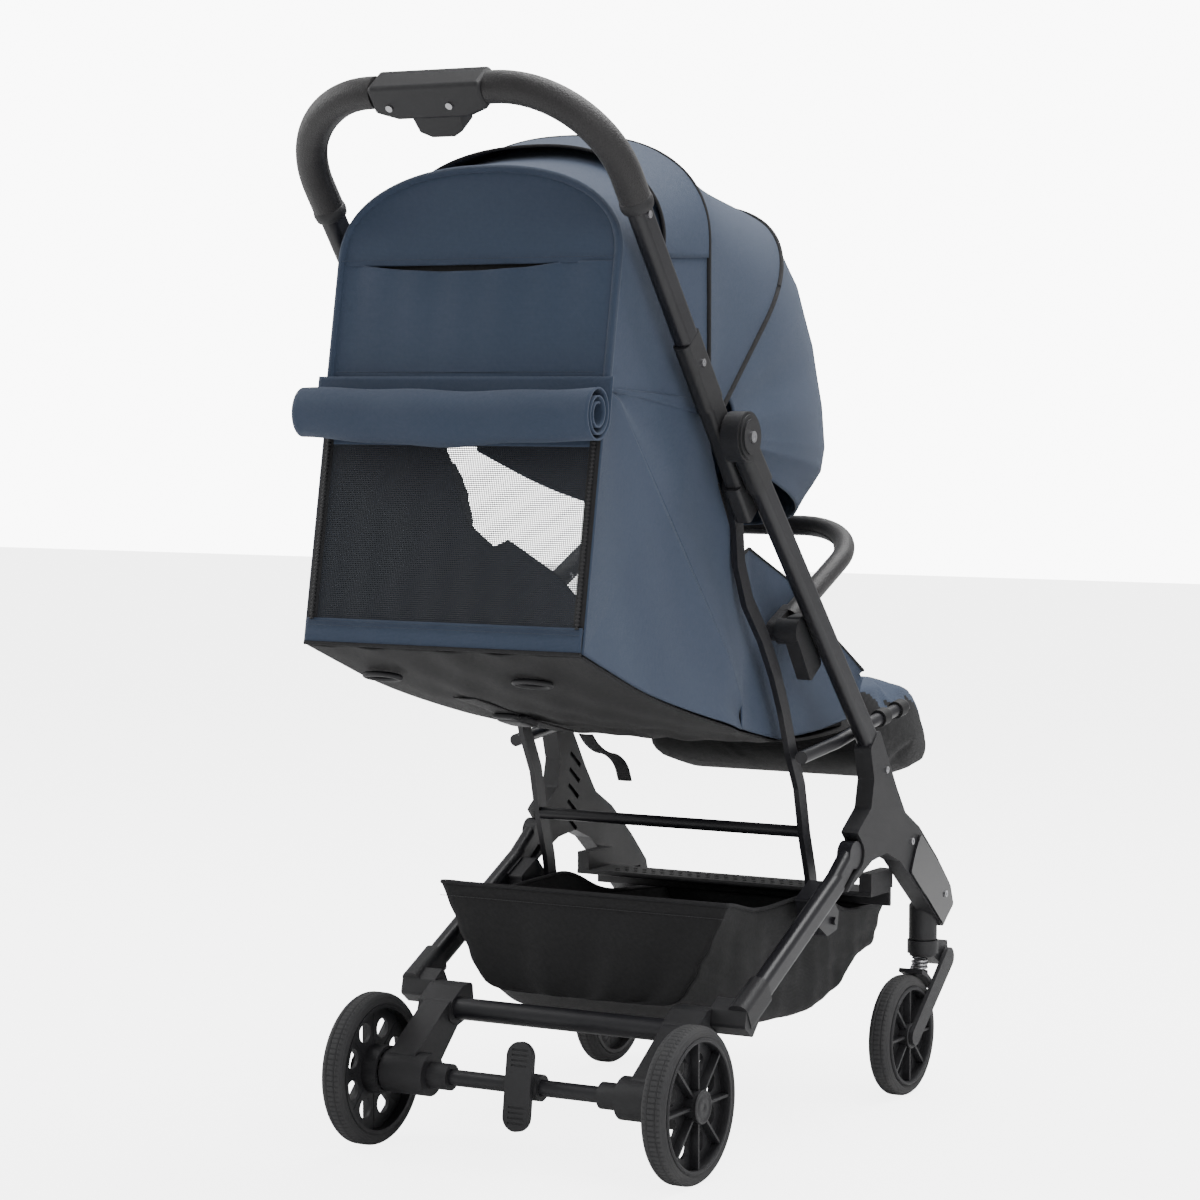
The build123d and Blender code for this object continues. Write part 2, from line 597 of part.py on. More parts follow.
# ---- link bars ----------------------------------------------------------------------------------
LINK_CENTRE = [LINK_TOP, (96, 612), (92, 574), (74, 536), (41, 500), (15, 462), (-4, 425),
               (-20, 384), (-40, 345), (-52, 294), (-66, 252), LINK_FOOT]


def link_bar(side):
    x0, x1 = side * (LINK_X - LINK_THICK / 2), side * (LINK_X + LINK_THICK / 2)
    body = None
    for a, b in zip(LINK_CENTRE, LINK_CENTRE[1:]):
        piece = plate_between(a, b, LINK_WIDTH / 2, LINK_WIDTH / 2, x0, x1)
        body = piece if body is None else body + piece
    body += shaft(x0, side * (LINK_X + LINK_THICK / 2 + 2), LINK_FOOT, 12)
    body -= shaft(side * (LINK_X - 10), side * (LINK_X + 10), LINK_FOOT, 4 + RUNNING)
    return body


parts["link_bars"] = both(link_bar)
parts["link_crossbar"] = shaft(-(LINK_X - LINK_THICK / 2), LINK_X - LINK_THICK / 2, CROSSBAR, CROSSBAR_R)

# ---- bumper -------------------------------------------------------------------------------------
BUMPER_RISE = 95.0


def bumper():
    tip = (BUMPER_PIVOT[0] - BUMPER_REACH, BUMPER_PIVOT[1] + BUMPER_RISE)
    run = toward(BUMPER_PIVOT, tip)
    start = along(BUMPER_PIVOT, run, 25)
    points = [(BUMPER_X, *start), (BUMPER_X, *tip), (-BUMPER_X, *tip), (-BUMPER_X, *start)]
    body = rod(points, BUMPER_R, 78)
    for side in SIDES:
        x0, x1 = side * (BUMPER_X - BUMPER_R + 1), side * (BUMPER_X + 1)
        body += plate_between(BUMPER_PIVOT, along(BUMPER_PIVOT, run, 34), 10, 10, x0, x1)
        body += shaft(x1, side * (BUMPER_X + 6), BUMPER_PIVOT, 4)
    return body


parts["bumper_bar"] = bumper()
# ---- canopy -------------------------------------------------------------------------------------
# Each bow is an arch in a plane through the fold hinge: angle, height, crown and corner radius.
# The rear arch lies in the plane of the back panel (angle None) and is measured from the panel's foot.
REAR_BOW = (None, 443.0, 14.0, 66.0)
MID_BOW = (90.0, 283.0, 26.0, 92.0)
FRONT_BOW = (137.0, 334.0, 46.0, 112.0)
VISOR_EDGE = (184.0, 386.0, 62.0, 122.0)
VISOR_LIP = (197.0, 342.0, 60.0, 116.0)
BOW_FOOT = 22.0
FRONT_BOW_FOOT = 64.0             # clear of the middle bow when the two are folded together


def arch(bow, half, height, foot=BOW_FOOT):
    """Arch line in a bow's plane: straight sides, round shoulders and a crown as round as fits."""
    crown = bow[2]
    shoulder = bow[3] - (CANOPY_X - half)
    slope = atan2(crown, half)
    shoulder_reach = shoulder * tan((pi / 2 - slope) / 2)
    crown_r = 0.9 * (sqrt(half ** 2 + crown ** 2) - shoulder_reach) / tan(slope)
    points = [(-half, foot), (-half, height - crown), (0, height), (half, height - crown), (half, foot)]
    return FilletPolyline(*points, radius=[shoulder, crown_r, shoulder])


def bow_plane(bow, by=0.0):
    """A bow's plane, turned forward by an angle; the back panel's plane is slid forward instead."""
    if bow[0] is None:
        return PANEL_PLANE.offset(by * 4)
    return plane_at(bow[0] + by)


def arch_face(bow, inset, foot, by=0.0):
    """Face filled under a bow's arch, in the bow's plane."""
    outer = arch(bow, CANOPY_X - inset, bow[1] - inset, foot)
    closing = Line(outer @ 1, outer @ 0)
    return bow_plane(bow, by) * make_face([*outer.edges(), *closing.edges()])


def canopy_section(first, second, foot_first=BOW_FOOT, foot_second=BOW_FOOT):
    """Fabric shell between two bows, open underneath and at both arches."""
    skin = loft([arch_face(first, 0, foot_first, 0.2), arch_face(second, 0, foot_second, -0.2)], ruled=True)
    hollow = loft([arch_face(first, FABRIC, foot_first - 8, -0.5),
                   arch_face(second, FABRIC, foot_second - 8, 0.5)], ruled=True)
    return skin - hollow


def canopy_bow(bow, foot=14):
    inset = FABRIC + BOW_R + 3
    line = arch(bow, CANOPY_X - inset, bow[1] - inset, foot)
    path = bow_plane(bow, 0.0 if bow[0] else 1.6) * line
    start = path @ 0
    return sweep(Plane(origin=start, z_dir=path % 0) * Circle(BOW_R), path=path)


parts["canopy_rear"] = canopy_section(REAR_BOW, MID_BOW, REAR_ARCH_FOOT)
parts["canopy_middle"] = canopy_section(MID_BOW, FRONT_BOW)
visor_top = canopy_section(FRONT_BOW, VISOR_EDGE, 60, 60)
visor_lip = canopy_section(VISOR_EDGE, VISOR_LIP, 60, 60)
parts["visor"] = visor_top + visor_lip
parts["rear_bow"] = canopy_bow(REAR_BOW, REAR_ARCH_FOOT + 4)
parts["middle_bow"] = canopy_bow(MID_BOW)
parts["front_bow"] = canopy_bow(FRONT_BOW, FRONT_BOW_FOOT)

# ---- cabin --------------------------------------------------------------------------------------
WINDOW_LOW = 22.0
WINDOW_HIGH = 190.0


def panel_band(start, end, half, thick, lift=0.0):
    """Slab in the plane of the back panel between two heights up its slope."""
    normal = (PANEL_RUN[1], -PANEL_RUN[0])
    low = along(along(BAG_REAR_LOW, PANEL_RUN, start), normal, lift)
    high = along(along(BAG_REAR_LOW, PANEL_RUN, end), normal, lift)
    return plate([low, high, along(high, normal, thick), along(low, normal, thick)], -half, half)


# The sides are split along the line the lower bag is pushed up to when the frame folds.
SPLIT_LOW = (62.0, 437.0)
SIDE_UPPER = [(317, 731), (165, 713), (128, 640), (100, 600), (62, 575), (62, 437.5)]
SIDE_LOWER = [(381, 508), (342, 735), (318.5, 731.5), SPLIT_LOW, (62, 411), (183, 440), (270, 464), (336, 489)]
SIDE_FRONT = [(62, 411), (62, 575), (40, 590), (-60, 545), (-140, 490), (-218, 449), (-208, 412),
              (-190, 400), (-28, 392), (20, 402)]


def side_upper(side):
    """Side cloth in front of the split, with the step in to the narrower seat."""
    rear = plate(SIDE_UPPER, side * (CABIN_X - FABRIC), side * CABIN_X)
    front = plate(SIDE_FRONT, side * (SEAT_X - FABRIC), side * SEAT_X)
    step = plate([(61, 411), (61, 575), (61 - FABRIC, 575), (61 - FABRIC, 411)], side * (SEAT_X - FABRIC),
                 side * CABIN_X)
    join = plate([(63, 438.5), (63, 575), (61 - FABRIC, 575), (61 - FABRIC, 438.5)],
                 side * (CABIN_X - FABRIC), side * CABIN_X)
    return rear + front + step + join


def side_lower(side):
    return plate(SIDE_LOWER, side * (CABIN_X - FABRIC), side * CABIN_X)


parts["cabin_sides_upper"] = both(side_upper)
parts["cabin_sides_lower"] = both(side_lower)
inner_half = CABIN_X - FABRIC - GAP
parts["window_mesh"] = panel_band(WINDOW_LOW, WINDOW_HIGH - GAP, inner_half, 1.4, 0.4)
panel_top = arch(REAR_BOW, CANOPY_X - FABRIC - GAP, REAR_BOW[1], WINDOW_HIGH)
panel_face = make_face([*panel_top.edges(), *Line(panel_top @ 1, panel_top @ 0).edges()])
parts["back_panel"] = extrude(PANEL_PLANE.offset(-FABRIC) * panel_face, FABRIC)
parts["window_hem"] = panel_band(1, WINDOW_LOW - GAP, inner_half, FABRIC, 0)
ROLL_R = 24.0
ROLL_UP = 213.0                  # middle of the rolled window cover, up the back panel
roll_centre = along(along(BAG_REAR_LOW, PANEL_RUN, ROLL_UP), (PANEL_RUN[1], -PANEL_RUN[0]), ROLL_R + 3.5)
parts["window_flap"] = shaft(-(CABIN_X + 7), CABIN_X + 7, roll_centre, ROLL_R)
FLOOR_LINE = [(378, 500), (336, 484), (270, 459), (183, 434), (80, 407), (-10, 390)]


def floor_skin():
    upper = [(y, z + 3) for y, z in FLOOR_LINE]
    return plate([*FLOOR_LINE, *reversed(upper)], -(SEAT_X - FABRIC - GAP), SEAT_X - FABRIC - GAP)


parts["bag_floor"] = floor_skin()
BACKREST_RUN = toward(RECLINE_PIVOT, (372, 514))
BACKREST_LENGTH = 385.0
backrest = bar(along(RECLINE_PIVOT, BACKREST_RUN, 8), along(RECLINE_PIVOT, BACKREST_RUN, BACKREST_LENGTH), 0,
               16, 2 * (SEAT_X - 12), 7)
parts["backrest_pad"] = Pos(0, 0, 9) * backrest
parts["seat_pad"] = Pos(0, -122, 410) * Box(2 * (SEAT_X - 8), 190, 22)
LEG_REST = [(-222, 436), (-328, 430), (-376, 420), (-418, 366), (-429, 338), (-396, 324), (-330, 322),
            (-222, 340)]
parts["leg_rest"] = plate(LEG_REST, -(SEAT_X - 1), SEAT_X - 1, 9)

# ---- basket -------------------------------------------------------------------------------------
# Cross-sections from back to front: y, floor height, rim height, half width low, half width high.
BASKET_STATIONS = [(130, 146, 250, 112, 164), (40, 106, 228, 136, BASKET_X), (-100, 98, 232, 138, BASKET_X),
                   (-150, 102, 206, 136, 146), (-170, 106, 200, 134, 144), (-235, 132, 196, 128, 140),
                   (-284, 142, 192, 124, 134)]


def basket_body(inset, rise):
    faces = []
    for index, (y, low, high, narrow, wide) in enumerate(BASKET_STATIONS):
        shift = -inset if index == 0 else (inset if index == len(BASKET_STATIONS) - 1 else 0)
        corners = [(-narrow + inset, low + inset), (narrow - inset, low + inset),
                   (wide - inset, high + rise), (-wide + inset, high + rise)]
        plane = Plane(origin=(0, y + shift, 0), x_dir=(1, 0, 0), z_dir=(0, -1, 0))
        faces.append(plane * make_face(Polyline(*corners, close=True)))
    return loft(faces, ruled=True)


parts["basket"] = basket_body(0, 0) - basket_body(FABRIC, 30)

# ---- straps -------------------------------------------------------------------------------------
STRAP_X = 60.0
strap = bar((250, 447), (60, 398), STRAP_X, 1.6, 24, 0.7)
parts["recline_strap"] = strap + Pos(STRAP_X, 150, 415) * Rot(14.5, 0, 0) * Box(34, 42, 8)


# ---- writing ------------------------------------------------------------------------------------
def centre_shift():
    low = min(shape.bounding_box().min.Y for shape in parts.values())
    high = max(shape.bounding_box().max.Y for shape in parts.values())
    return -(low + high) / 2


def write_parts():
    os.makedirs("parts", exist_ok=True)
    shift = centre_shift()
    print("centre shift in Y:", round(shift, 4))
    for node, shape in parts.items():
        moved = Pos(0, shift, 0) * shape
        export_step(moved, "parts/" + node + ".step")


write_parts()
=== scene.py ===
from math import cos, pi, radians, sin

import bmesh
import bpy
import numpy as np
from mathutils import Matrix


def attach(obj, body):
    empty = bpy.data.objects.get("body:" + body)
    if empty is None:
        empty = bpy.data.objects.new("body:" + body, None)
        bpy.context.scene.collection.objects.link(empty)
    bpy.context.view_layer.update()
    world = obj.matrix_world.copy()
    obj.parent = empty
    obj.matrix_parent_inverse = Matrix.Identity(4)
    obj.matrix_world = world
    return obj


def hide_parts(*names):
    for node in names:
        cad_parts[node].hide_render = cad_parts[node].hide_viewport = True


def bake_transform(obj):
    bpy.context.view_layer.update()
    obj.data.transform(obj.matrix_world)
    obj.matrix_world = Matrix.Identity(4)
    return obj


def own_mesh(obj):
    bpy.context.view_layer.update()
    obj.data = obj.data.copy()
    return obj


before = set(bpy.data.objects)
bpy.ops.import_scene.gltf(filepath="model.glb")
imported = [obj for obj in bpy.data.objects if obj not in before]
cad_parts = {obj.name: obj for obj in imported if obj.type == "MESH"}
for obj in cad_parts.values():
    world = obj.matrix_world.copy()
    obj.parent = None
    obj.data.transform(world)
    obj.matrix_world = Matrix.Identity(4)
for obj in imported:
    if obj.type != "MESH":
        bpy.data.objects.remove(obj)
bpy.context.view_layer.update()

# Frame tubes: two oval front legs, two handle tubes, the rear legs, link bars and cross tubes.
# The real ones are drawn aluminium and steel tube with a fine black powder coat, held by moulded joints.
# A powder coat is nearly flat, so most of its look is a soft gloss broken by a faint orange peel.


def group_with(name, inputs, outputs):
    """Empty shader node group with named float, colour or vector sockets."""
    tree = bpy.data.node_groups.new(name, "ShaderNodeTree")
    for label, kind, value in inputs:
        socket = tree.interface.new_socket(name=label, in_out="INPUT", socket_type="NodeSocket" + kind)
        if kind != "Vector":
            socket.default_value = value
    for label, kind in outputs:
        tree.interface.new_socket(name=label, in_out="OUTPUT", socket_type="NodeSocket" + kind)
    return tree, tree.nodes.new("NodeGroupInput"), tree.nodes.new("NodeGroupOutput")


def node_in(tree, kind, **settings):
    made = tree.nodes.new("ShaderNode" + kind)
    for key, value in settings.items():
        setattr(made, key, value)
    return made


def join(tree, source, target):
    tree.links.new(source, target)


def math_in(tree, operation, first, second=None):
    """One Math node; first and second are sockets or plain numbers."""
    made = node_in(tree, "Math", operation=operation)
    for slot_index, value in enumerate((first, second)):
        if value is None:
            continue
        if isinstance(value, (int, float)):
            made.inputs[slot_index].default_value = value
        else:
            join(tree, value, made.inputs[slot_index])
    return made.outputs[0]


# Grain: fine noise for the surface height, and broad noise for patches of wear, handling and dust.
grain, grain_in, grain_out = group_with(
    "surface_grain",
    [("Vector", "Vector", None), ("Fine Scale", "Float", 900.0), ("Patch Scale", "Float", 14.0),
     ("Roughness", "Float", 0.5), ("Roughness Spread", "Float", 0.12), ("Base", "Color", (0.02, 0.02, 0.02, 1)),
     ("Worn", "Color", (0.05, 0.05, 0.05, 1)), ("Worn Amount", "Float", 0.3)],
    [("Height", "Float"), ("Roughness", "Float"), ("Color", "Color")])
fine = node_in(grain, "TexNoise")
fine.inputs["Detail"].default_value = 3
patch = node_in(grain, "TexNoise")
patch.inputs["Detail"].default_value = 5
join(grain, grain_in.outputs["Vector"], fine.inputs["Vector"])
join(grain, grain_in.outputs["Fine Scale"], fine.inputs["Scale"])
join(grain, grain_in.outputs["Vector"], patch.inputs["Vector"])
join(grain, grain_in.outputs["Patch Scale"], patch.inputs["Scale"])
join(grain, fine.outputs["Fac"], grain_out.inputs["Height"])
spread = math_in(grain, "MULTIPLY", math_in(grain, "SUBTRACT", patch.outputs["Fac"], 0.5),
                 grain_in.outputs["Roughness Spread"])
join(grain, math_in(grain, "ADD", grain_in.outputs["Roughness"], math_in(grain, "MULTIPLY", spread, 2.0)),
     grain_out.inputs["Roughness"])
worn_mask = node_in(grain, "MapRange")
worn_mask.inputs["From Min"].default_value = 0.45
worn_mask.inputs["From Max"].default_value = 0.75
join(grain, patch.outputs["Fac"], worn_mask.inputs["Value"])
worn_mix = node_in(grain, "MixRGB")
join(grain, math_in(grain, "MULTIPLY", worn_mask.outputs[0], grain_in.outputs["Worn Amount"]), worn_mix.inputs[0])
join(grain, grain_in.outputs["Base"], worn_mix.inputs[1])
join(grain, grain_in.outputs["Worn"], worn_mix.inputs[2])
join(grain, worn_mix.outputs[0], grain_out.inputs["Color"])


def use_group(tree, group, vector, **values):
    made = tree.nodes.new("ShaderNodeGroup")
    made.node_tree = group
    join(tree, vector, made.inputs["Vector"])
    for label, value in values.items():
        made.inputs[label.replace("_", " ")].default_value = value
    return made


def start_material(name, **sockets):
    """Material with a Principled shader; uniform values go straight on its sockets."""
    mat = bpy.data.materials.new(name)
    mat.use_nodes = True
    shader = mat.node_tree.nodes["Principled BSDF"]
    for label, value in sockets.items():
        shader.inputs[label.replace("_", " ")].default_value = value
    return mat, mat.node_tree, shader


def bump_into(tree, shader, height, distance):
    bump = node_in(tree, "Bump")
    bump.inputs["Strength"].default_value = 1.0
    bump.inputs["Distance"].default_value = distance
    join(tree, height, bump.inputs["Height"])
    join(tree, bump.outputs[0], shader.inputs["Normal"])


def grained(name, base, worn, worn_amount, rough, spread, fine_scale, distance, **sockets):
    """Hard surface: grained height, patchy roughness and slightly worn colour on Object coordinates."""
    mat, tree, shader = start_material(name, **sockets)
    place = node_in(tree, "TexCoord")
    group = use_group(tree, grain, place.outputs["Object"], Fine_Scale=fine_scale, Roughness=rough,
                      Roughness_Spread=spread, Base=(*base, 1), Worn=(*worn, 1), Worn_Amount=worn_amount)
    join(tree, group.outputs["Color"], shader.inputs["Base Color"])
    join(tree, group.outputs["Roughness"], shader.inputs["Roughness"])
    bump_into(tree, shader, group.outputs["Height"], distance)
    return mat


def paint(mat, *nodes):
    """Gives CAD nodes a material; their meshes stay as they are."""
    for node in nodes:
        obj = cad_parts[node]
        if not obj.material_slots:
            obj.data.materials.append(mat)
        for place in obj.material_slots:
            place.material = mat


powder_coat = grained("powder_coat", (0.012, 0.012, 0.015), (0.03, 0.03, 0.034), 0.35, 0.36, 0.1, 1400.0, 0.00012)
paint(powder_coat, "front_legs", "handle_tubes", "rear_leg_tubes", "rear_cross_tube", "axle_tube",
      "link_bars", "link_crossbar", "seat_rails")
bow_lacquer = grained("bow_lacquer", (0.012, 0.012, 0.014), (0.03, 0.03, 0.034), 0.3, 0.42, 0.1, 1200.0, 0.0001)
paint(bow_lacquer, "rear_bow", "middle_bow", "front_bow")

# Moulded joints, brackets, wheel centres and the trigger case.
# Glass-filled nylon straight from the tool: spark-eroded grain, a little greyer where it is handled.
moulded = grained("moulded_nylon", (0.014, 0.014, 0.016), (0.034, 0.034, 0.037), 0.4, 0.5, 0.12, 2200.0, 0.00025)
paint(moulded, "y_brackets", "caster_stems", "hinge_knuckles", "foot_plate", "bumper_sockets", "seat_board",
      "handle_case", "joint_sleeves", "rear_feet", "brake_pedal", "fold_trigger", "lock_slide",
      "caster_fork_left", "caster_fork_right", "swing_arm_left", "swing_arm_right",
      "rear_rim_left", "rear_rim_right", "front_rim_left", "front_rim_right")
polished = grained("polished_cover", (0.01, 0.01, 0.012), (0.02, 0.02, 0.022), 0.3, 0.2, 0.06, 300.0, 0.00003,
                   Coat_Weight=0.4, Coat_Roughness=0.1)
paint(polished, "arm_covers")
zinc = grained("zinc_plate", (0.5, 0.5, 0.52), (0.32, 0.32, 0.33), 0.5, 0.28, 0.1, 1500.0, 0.00006, Metallic=1.0)
paint(zinc, "frame_screws", "handle_screws", "spring_left", "spring_right", "brake_pin_left", "brake_pin_right")

# Caster springs: plated coils between the stem and the swing arm; each gets its own copy of its mesh.
for side_name in ("left", "right"):
    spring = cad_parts["spring_" + side_name]
    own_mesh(spring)

# Leatherette covers of the push bar and the bumper bar.
# Polyurethane film on foam, wrapped round the tube and sewn shut; pebbled grain, dull with a slight sheen.
leatherette, leather_tree, leather_shader = start_material("leatherette", Sheen_Weight=0.15, Sheen_Roughness=0.4)
leather_place = node_in(leather_tree, "TexCoord")
pebbles = node_in(leather_tree, "TexVoronoi", feature="DISTANCE_TO_EDGE")
pebbles.inputs["Scale"].default_value = 420.0
join(leather_tree, leather_place.outputs["Object"], pebbles.inputs["Vector"])
leather_group = use_group(leather_tree, grain, leather_place.outputs["Object"], Fine_Scale=1500.0, Roughness=0.48,
                          Roughness_Spread=0.1, Base=(0.014, 0.013, 0.014, 1), Worn=(0.032, 0.03, 0.031, 1),
                          Worn_Amount=0.4)
pebble_height = math_in(leather_tree, "ADD", math_in(leather_tree, "MINIMUM", pebbles.outputs["Distance"], 0.25),
                        math_in(leather_tree, "MULTIPLY", leather_group.outputs["Height"], 0.12))
join(leather_tree, leather_group.outputs["Color"], leather_shader.inputs["Base Color"])
join(leather_tree, leather_group.outputs["Roughness"], leather_shader.inputs["Roughness"])
bump_into(leather_tree, leather_shader, pebble_height, 0.0007)
paint(leatherette, "handle_grips", "bumper_bar")

# Stitched seam on the inside of each grip and along the inside of the bumper.
# The cover's two edges are drawn together with a lacing thread, which stands up as a low ridge of stitches.
CENTRED = 0.0060557              # how far the whole model was moved in Y to centre it
HINGE = np.array([0.151, 0.697])
SIDES = (("left", 1), ("right", -1))
HANDLE_RUN = np.array([cos(radians(52.1)), sin(radians(52.1))])


def surface(name, points, closed_u=False, closed_v=False):
    """Mesh over a grid of points (rows, columns, xyz) with a UV map in metres along rows and columns.

    U is the running length down each column and V the running length along each row, so a weave keeps its size.
    """
    rows, columns = points.shape[:2]
    u_next = rows if closed_u else rows - 1
    v_next = columns if closed_v else columns - 1
    i, j = np.meshgrid(np.arange(u_next), np.arange(v_next), indexing="ij")
    a = i * columns + j
    b = i * columns + (j + 1) % columns
    c = ((i + 1) % rows) * columns + (j + 1) % columns
    d = ((i + 1) % rows) * columns + j
    faces = np.stack([a, b, c, d], -1).reshape(-1, 4)
    mesh = bpy.data.meshes.new(name)
    mesh.from_pydata(points.reshape(-1, 3).tolist(), [], faces.tolist())
    down = np.linalg.norm(np.diff(points, axis=0), axis=2)
    across = np.linalg.norm(np.diff(points, axis=1), axis=2)
    u = np.vstack([np.zeros((1, columns)), np.cumsum(down, 0)])
    v = np.hstack([np.zeros((rows, 1)), np.cumsum(across, 1)])
    uv = np.stack([u, v], -1).reshape(-1, 2)
    layer = mesh.uv_layers.new(name="weave")
    layer.data.foreach_set("uv", uv[faces.reshape(-1)].reshape(-1).astype(np.float32))
    mesh.polygons.foreach_set("use_smooth", np.ones(len(faces), bool))
    obj = bpy.data.objects.new(name, mesh)
    bpy.context.scene.collection.objects.link(obj)
    return obj


def settle(obj):
    """Applies the live modifiers, so that the mesh is final."""
    bpy.context.view_layer.update()
    done = obj.evaluated_get(bpy.context.evaluated_depsgraph_get())
    mesh = bpy.data.meshes.new_from_object(done, preserve_all_data_layers=True,
                                           depsgraph=bpy.context.evaluated_depsgraph_get())
    obj.modifiers.clear()
    obj.data = mesh
    return obj


def outward(obj):
    """Merges doubles and turns the faces of a closed shape outwards."""
    shape = bmesh.new()
    shape.from_mesh(obj.data)
    bmesh.ops.remove_doubles(shape, verts=shape.verts, dist=1e-6)
    bmesh.ops.recalc_face_normals(shape, faces=shape.faces)
    shape.to_mesh(obj.data)
    shape.free()
    return obj


def thicken(obj, thickness, offset=0.0):
    """Merges doubles, evens the normals and gives the cloth its thickness."""
    outward(obj)
    wall = obj.modifiers.new("wall", "SOLIDIFY")
    wall.thickness = thickness
    wall.offset = offset
    return settle(obj)


def even(points, count):
    """Polyline resampled to count points equally spaced along its length."""
    points = np.asarray(points, float)
    lengths = np.r_[0, np.cumsum(np.linalg.norm(np.diff(points, axis=0), axis=1))]
    stations = np.linspace(0, lengths[-1], count)
    return np.stack([np.interp(stations, lengths, points[:, k]) for k in range(points.shape[1])], -1)


def soften(points, rounds=3):
    """Polyline with its corners rounded by repeated corner cutting at a quarter and three quarters."""
    points = np.asarray(points, float)
    for _ in range(rounds):
        low = points[:-1] * 0.75 + points[1:] * 0.25
        high = points[:-1] * 0.25 + points[1:] * 0.75
        middle = np.stack([low, high], 1).reshape(-1, points.shape[1])
        points = np.vstack([points[:1], middle, points[-1:]])
    return points


def tube(path, radius, sides=10):
    """Grid round a path: centre + radius (cos a N + sin a B), with N kept from turning by the X axis or Z."""
    path = np.asarray(path, float)
    tangent = np.gradient(path, axis=0)
    tangent /= np.linalg.norm(tangent, axis=1, keepdims=True)
    guide = np.tile([0.0, -HANDLE_RUN[1], HANDLE_RUN[0]], (len(path), 1))
    side = np.cross(tangent, guide)
    flat = np.linalg.norm(side, axis=1) < 0.2
    side[flat] = np.cross(tangent[flat], [1.0, 0.0, 0.0])
    side /= np.linalg.norm(side, axis=1, keepdims=True)
    up = np.cross(side, tangent)
    angle = np.linspace(0, 2 * pi, sides, endpoint=False)
    radius = np.broadcast_to(np.asarray(radius, float), (len(path),))
    ring = (np.cos(angle)[None, :, None] * side[:, None, :]
            + np.sin(angle)[None, :, None] * up[:, None, :])
    return path[:, None, :] + ring * radius[:, None, None]


def capped(points):
    """Closes both ends of a tube grid by adding a ring of points gathered at its centre."""
    first = np.repeat(points[:1].mean(1, keepdims=True), points.shape[1], 1)
    last = np.repeat(points[-1:].mean(1, keepdims=True), points.shape[1], 1)
    return np.concatenate([first, points, last], 0)


def round_tube(name, path, radius, sides=10):
    return outward(surface(name, capped(tube(path, radius, sides)), closed_v=True))


def finish_with(obj, mat):
    """One material over the whole piece."""
    obj.data.materials.clear()
    obj.data.materials.append(mat)
    return obj


def give(obj, mat, body):
    """Finishes a piece and lets it ride on a body."""
    finish_with(obj, mat)
    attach(obj, body)
    return obj


def in_handle(x, out, lift=0.0):
    """Point in the handle's plane: x across, out from the hinge, lift off the plane."""
    x, out = np.broadcast_arrays(np.asarray(x, float), np.asarray(out, float))
    y = HINGE[0] + CENTRED + HANDLE_RUN[0] * out - HANDLE_RUN[1] * lift
    z = HINGE[1] + HANDLE_RUN[1] * out + HANDLE_RUN[0] * lift
    return np.stack([x, y, z], -1)


def bend(start, corner, end, radius, count):
    """Straight, arc, straight in two dimensions: the arc touches both runs at radius / tan(half angle)."""
    start, corner, end = (np.asarray(p, float) for p in (start, corner, end))
    back, on = start - corner, end - corner
    back /= np.linalg.norm(back)
    on /= np.linalg.norm(on)
    half = np.arccos(np.clip(back @ on, -1, 1)) / 2
    reach = radius / np.tan(half)
    centre = corner + (back + on) / np.linalg.norm(back + on) * radius / np.sin(half)
    first, last = corner + back * reach, corner + on * reach
    a0 = np.arctan2(*(first - centre)[::-1])
    a1 = np.arctan2(*(last - centre)[::-1])
    a1 = a0 + (a1 - a0 + pi) % (2 * pi) - pi
    arc = centre + radius * np.stack([np.cos(np.linspace(a0, a1, 40)), np.sin(np.linspace(a0, a1, 40))], -1)
    return even(np.vstack([start, arc, end]), count)


thread_dark = grained("seam_thread", (0.02, 0.02, 0.022), (0.04, 0.04, 0.042), 0.3, 0.6, 0.1, 2500.0, 0.0003)
for side_name, side_sign in SIDES:
    seam_line = bend((0.166, 0.276), (0.166, 0.398), (0.064, 0.398), 0.1, 260)
    inward = np.gradient(seam_line, axis=0)
    inward = np.stack([-inward[:, 1], inward[:, 0]], -1) / np.linalg.norm(inward, axis=1, keepdims=True)
    seam_line = seam_line + inward * 0.0146
    stitches = 0.0009 + 0.00055 * np.abs(np.sin(np.arange(260) * pi / 5))
    seam_path = in_handle(side_sign * seam_line[:, 0], seam_line[:, 1])
    seam = round_tube("grip_seam_" + side_name, seam_path, stitches, 8)
    give(seam, thread_dark, "handle")
    collar_path = in_handle(side_sign * 0.166, np.linspace(0.264, 0.275, 12))
    collar_swell = 0.0151 + 0.0009 * np.sin(np.linspace(0, pi, 12))
    collar = round_tube("grip_collar_" + side_name, collar_path, collar_swell, 28)
    give(collar, moulded, "handle")

# Tyres: hard polyurethane foam rubber, pressed onto the rims.
# The tread has two ring grooves with rows of small blocks between them; the walls carry fine rings.
rubber = grained("tyre_rubber", (0.034, 0.034, 0.036), (0.075, 0.074, 0.072), 0.55, 0.72, 0.1, 1800.0, 0.0003)
WHEEL_TRACK = 0.1767
REAR_HUB = (0.2345 + CENTRED, 0.075)
FRONT_HUB = (-0.237 + CENTRED, 0.063)


def tread_profile(radius, rim, width):
    """Section of the tyre as (distance from axle, offset): flat rim seat, bulging wall and crowned tread."""
    half = width / 2
    wall = [(rim, -half + 0.001), (rim + 0.002, -half), (rim + 0.0045, -half - 0.0003),
            (rim + 0.0075, -half + 0.0008), (radius - 0.0012, -half + 0.003),
            (radius - 0.0002, -half + 0.0052), (radius, -half + 0.0075)]
    right = [(r, -w) for r, w in wall[::-1]]
    return even(soften(wall + right, 2), 56)


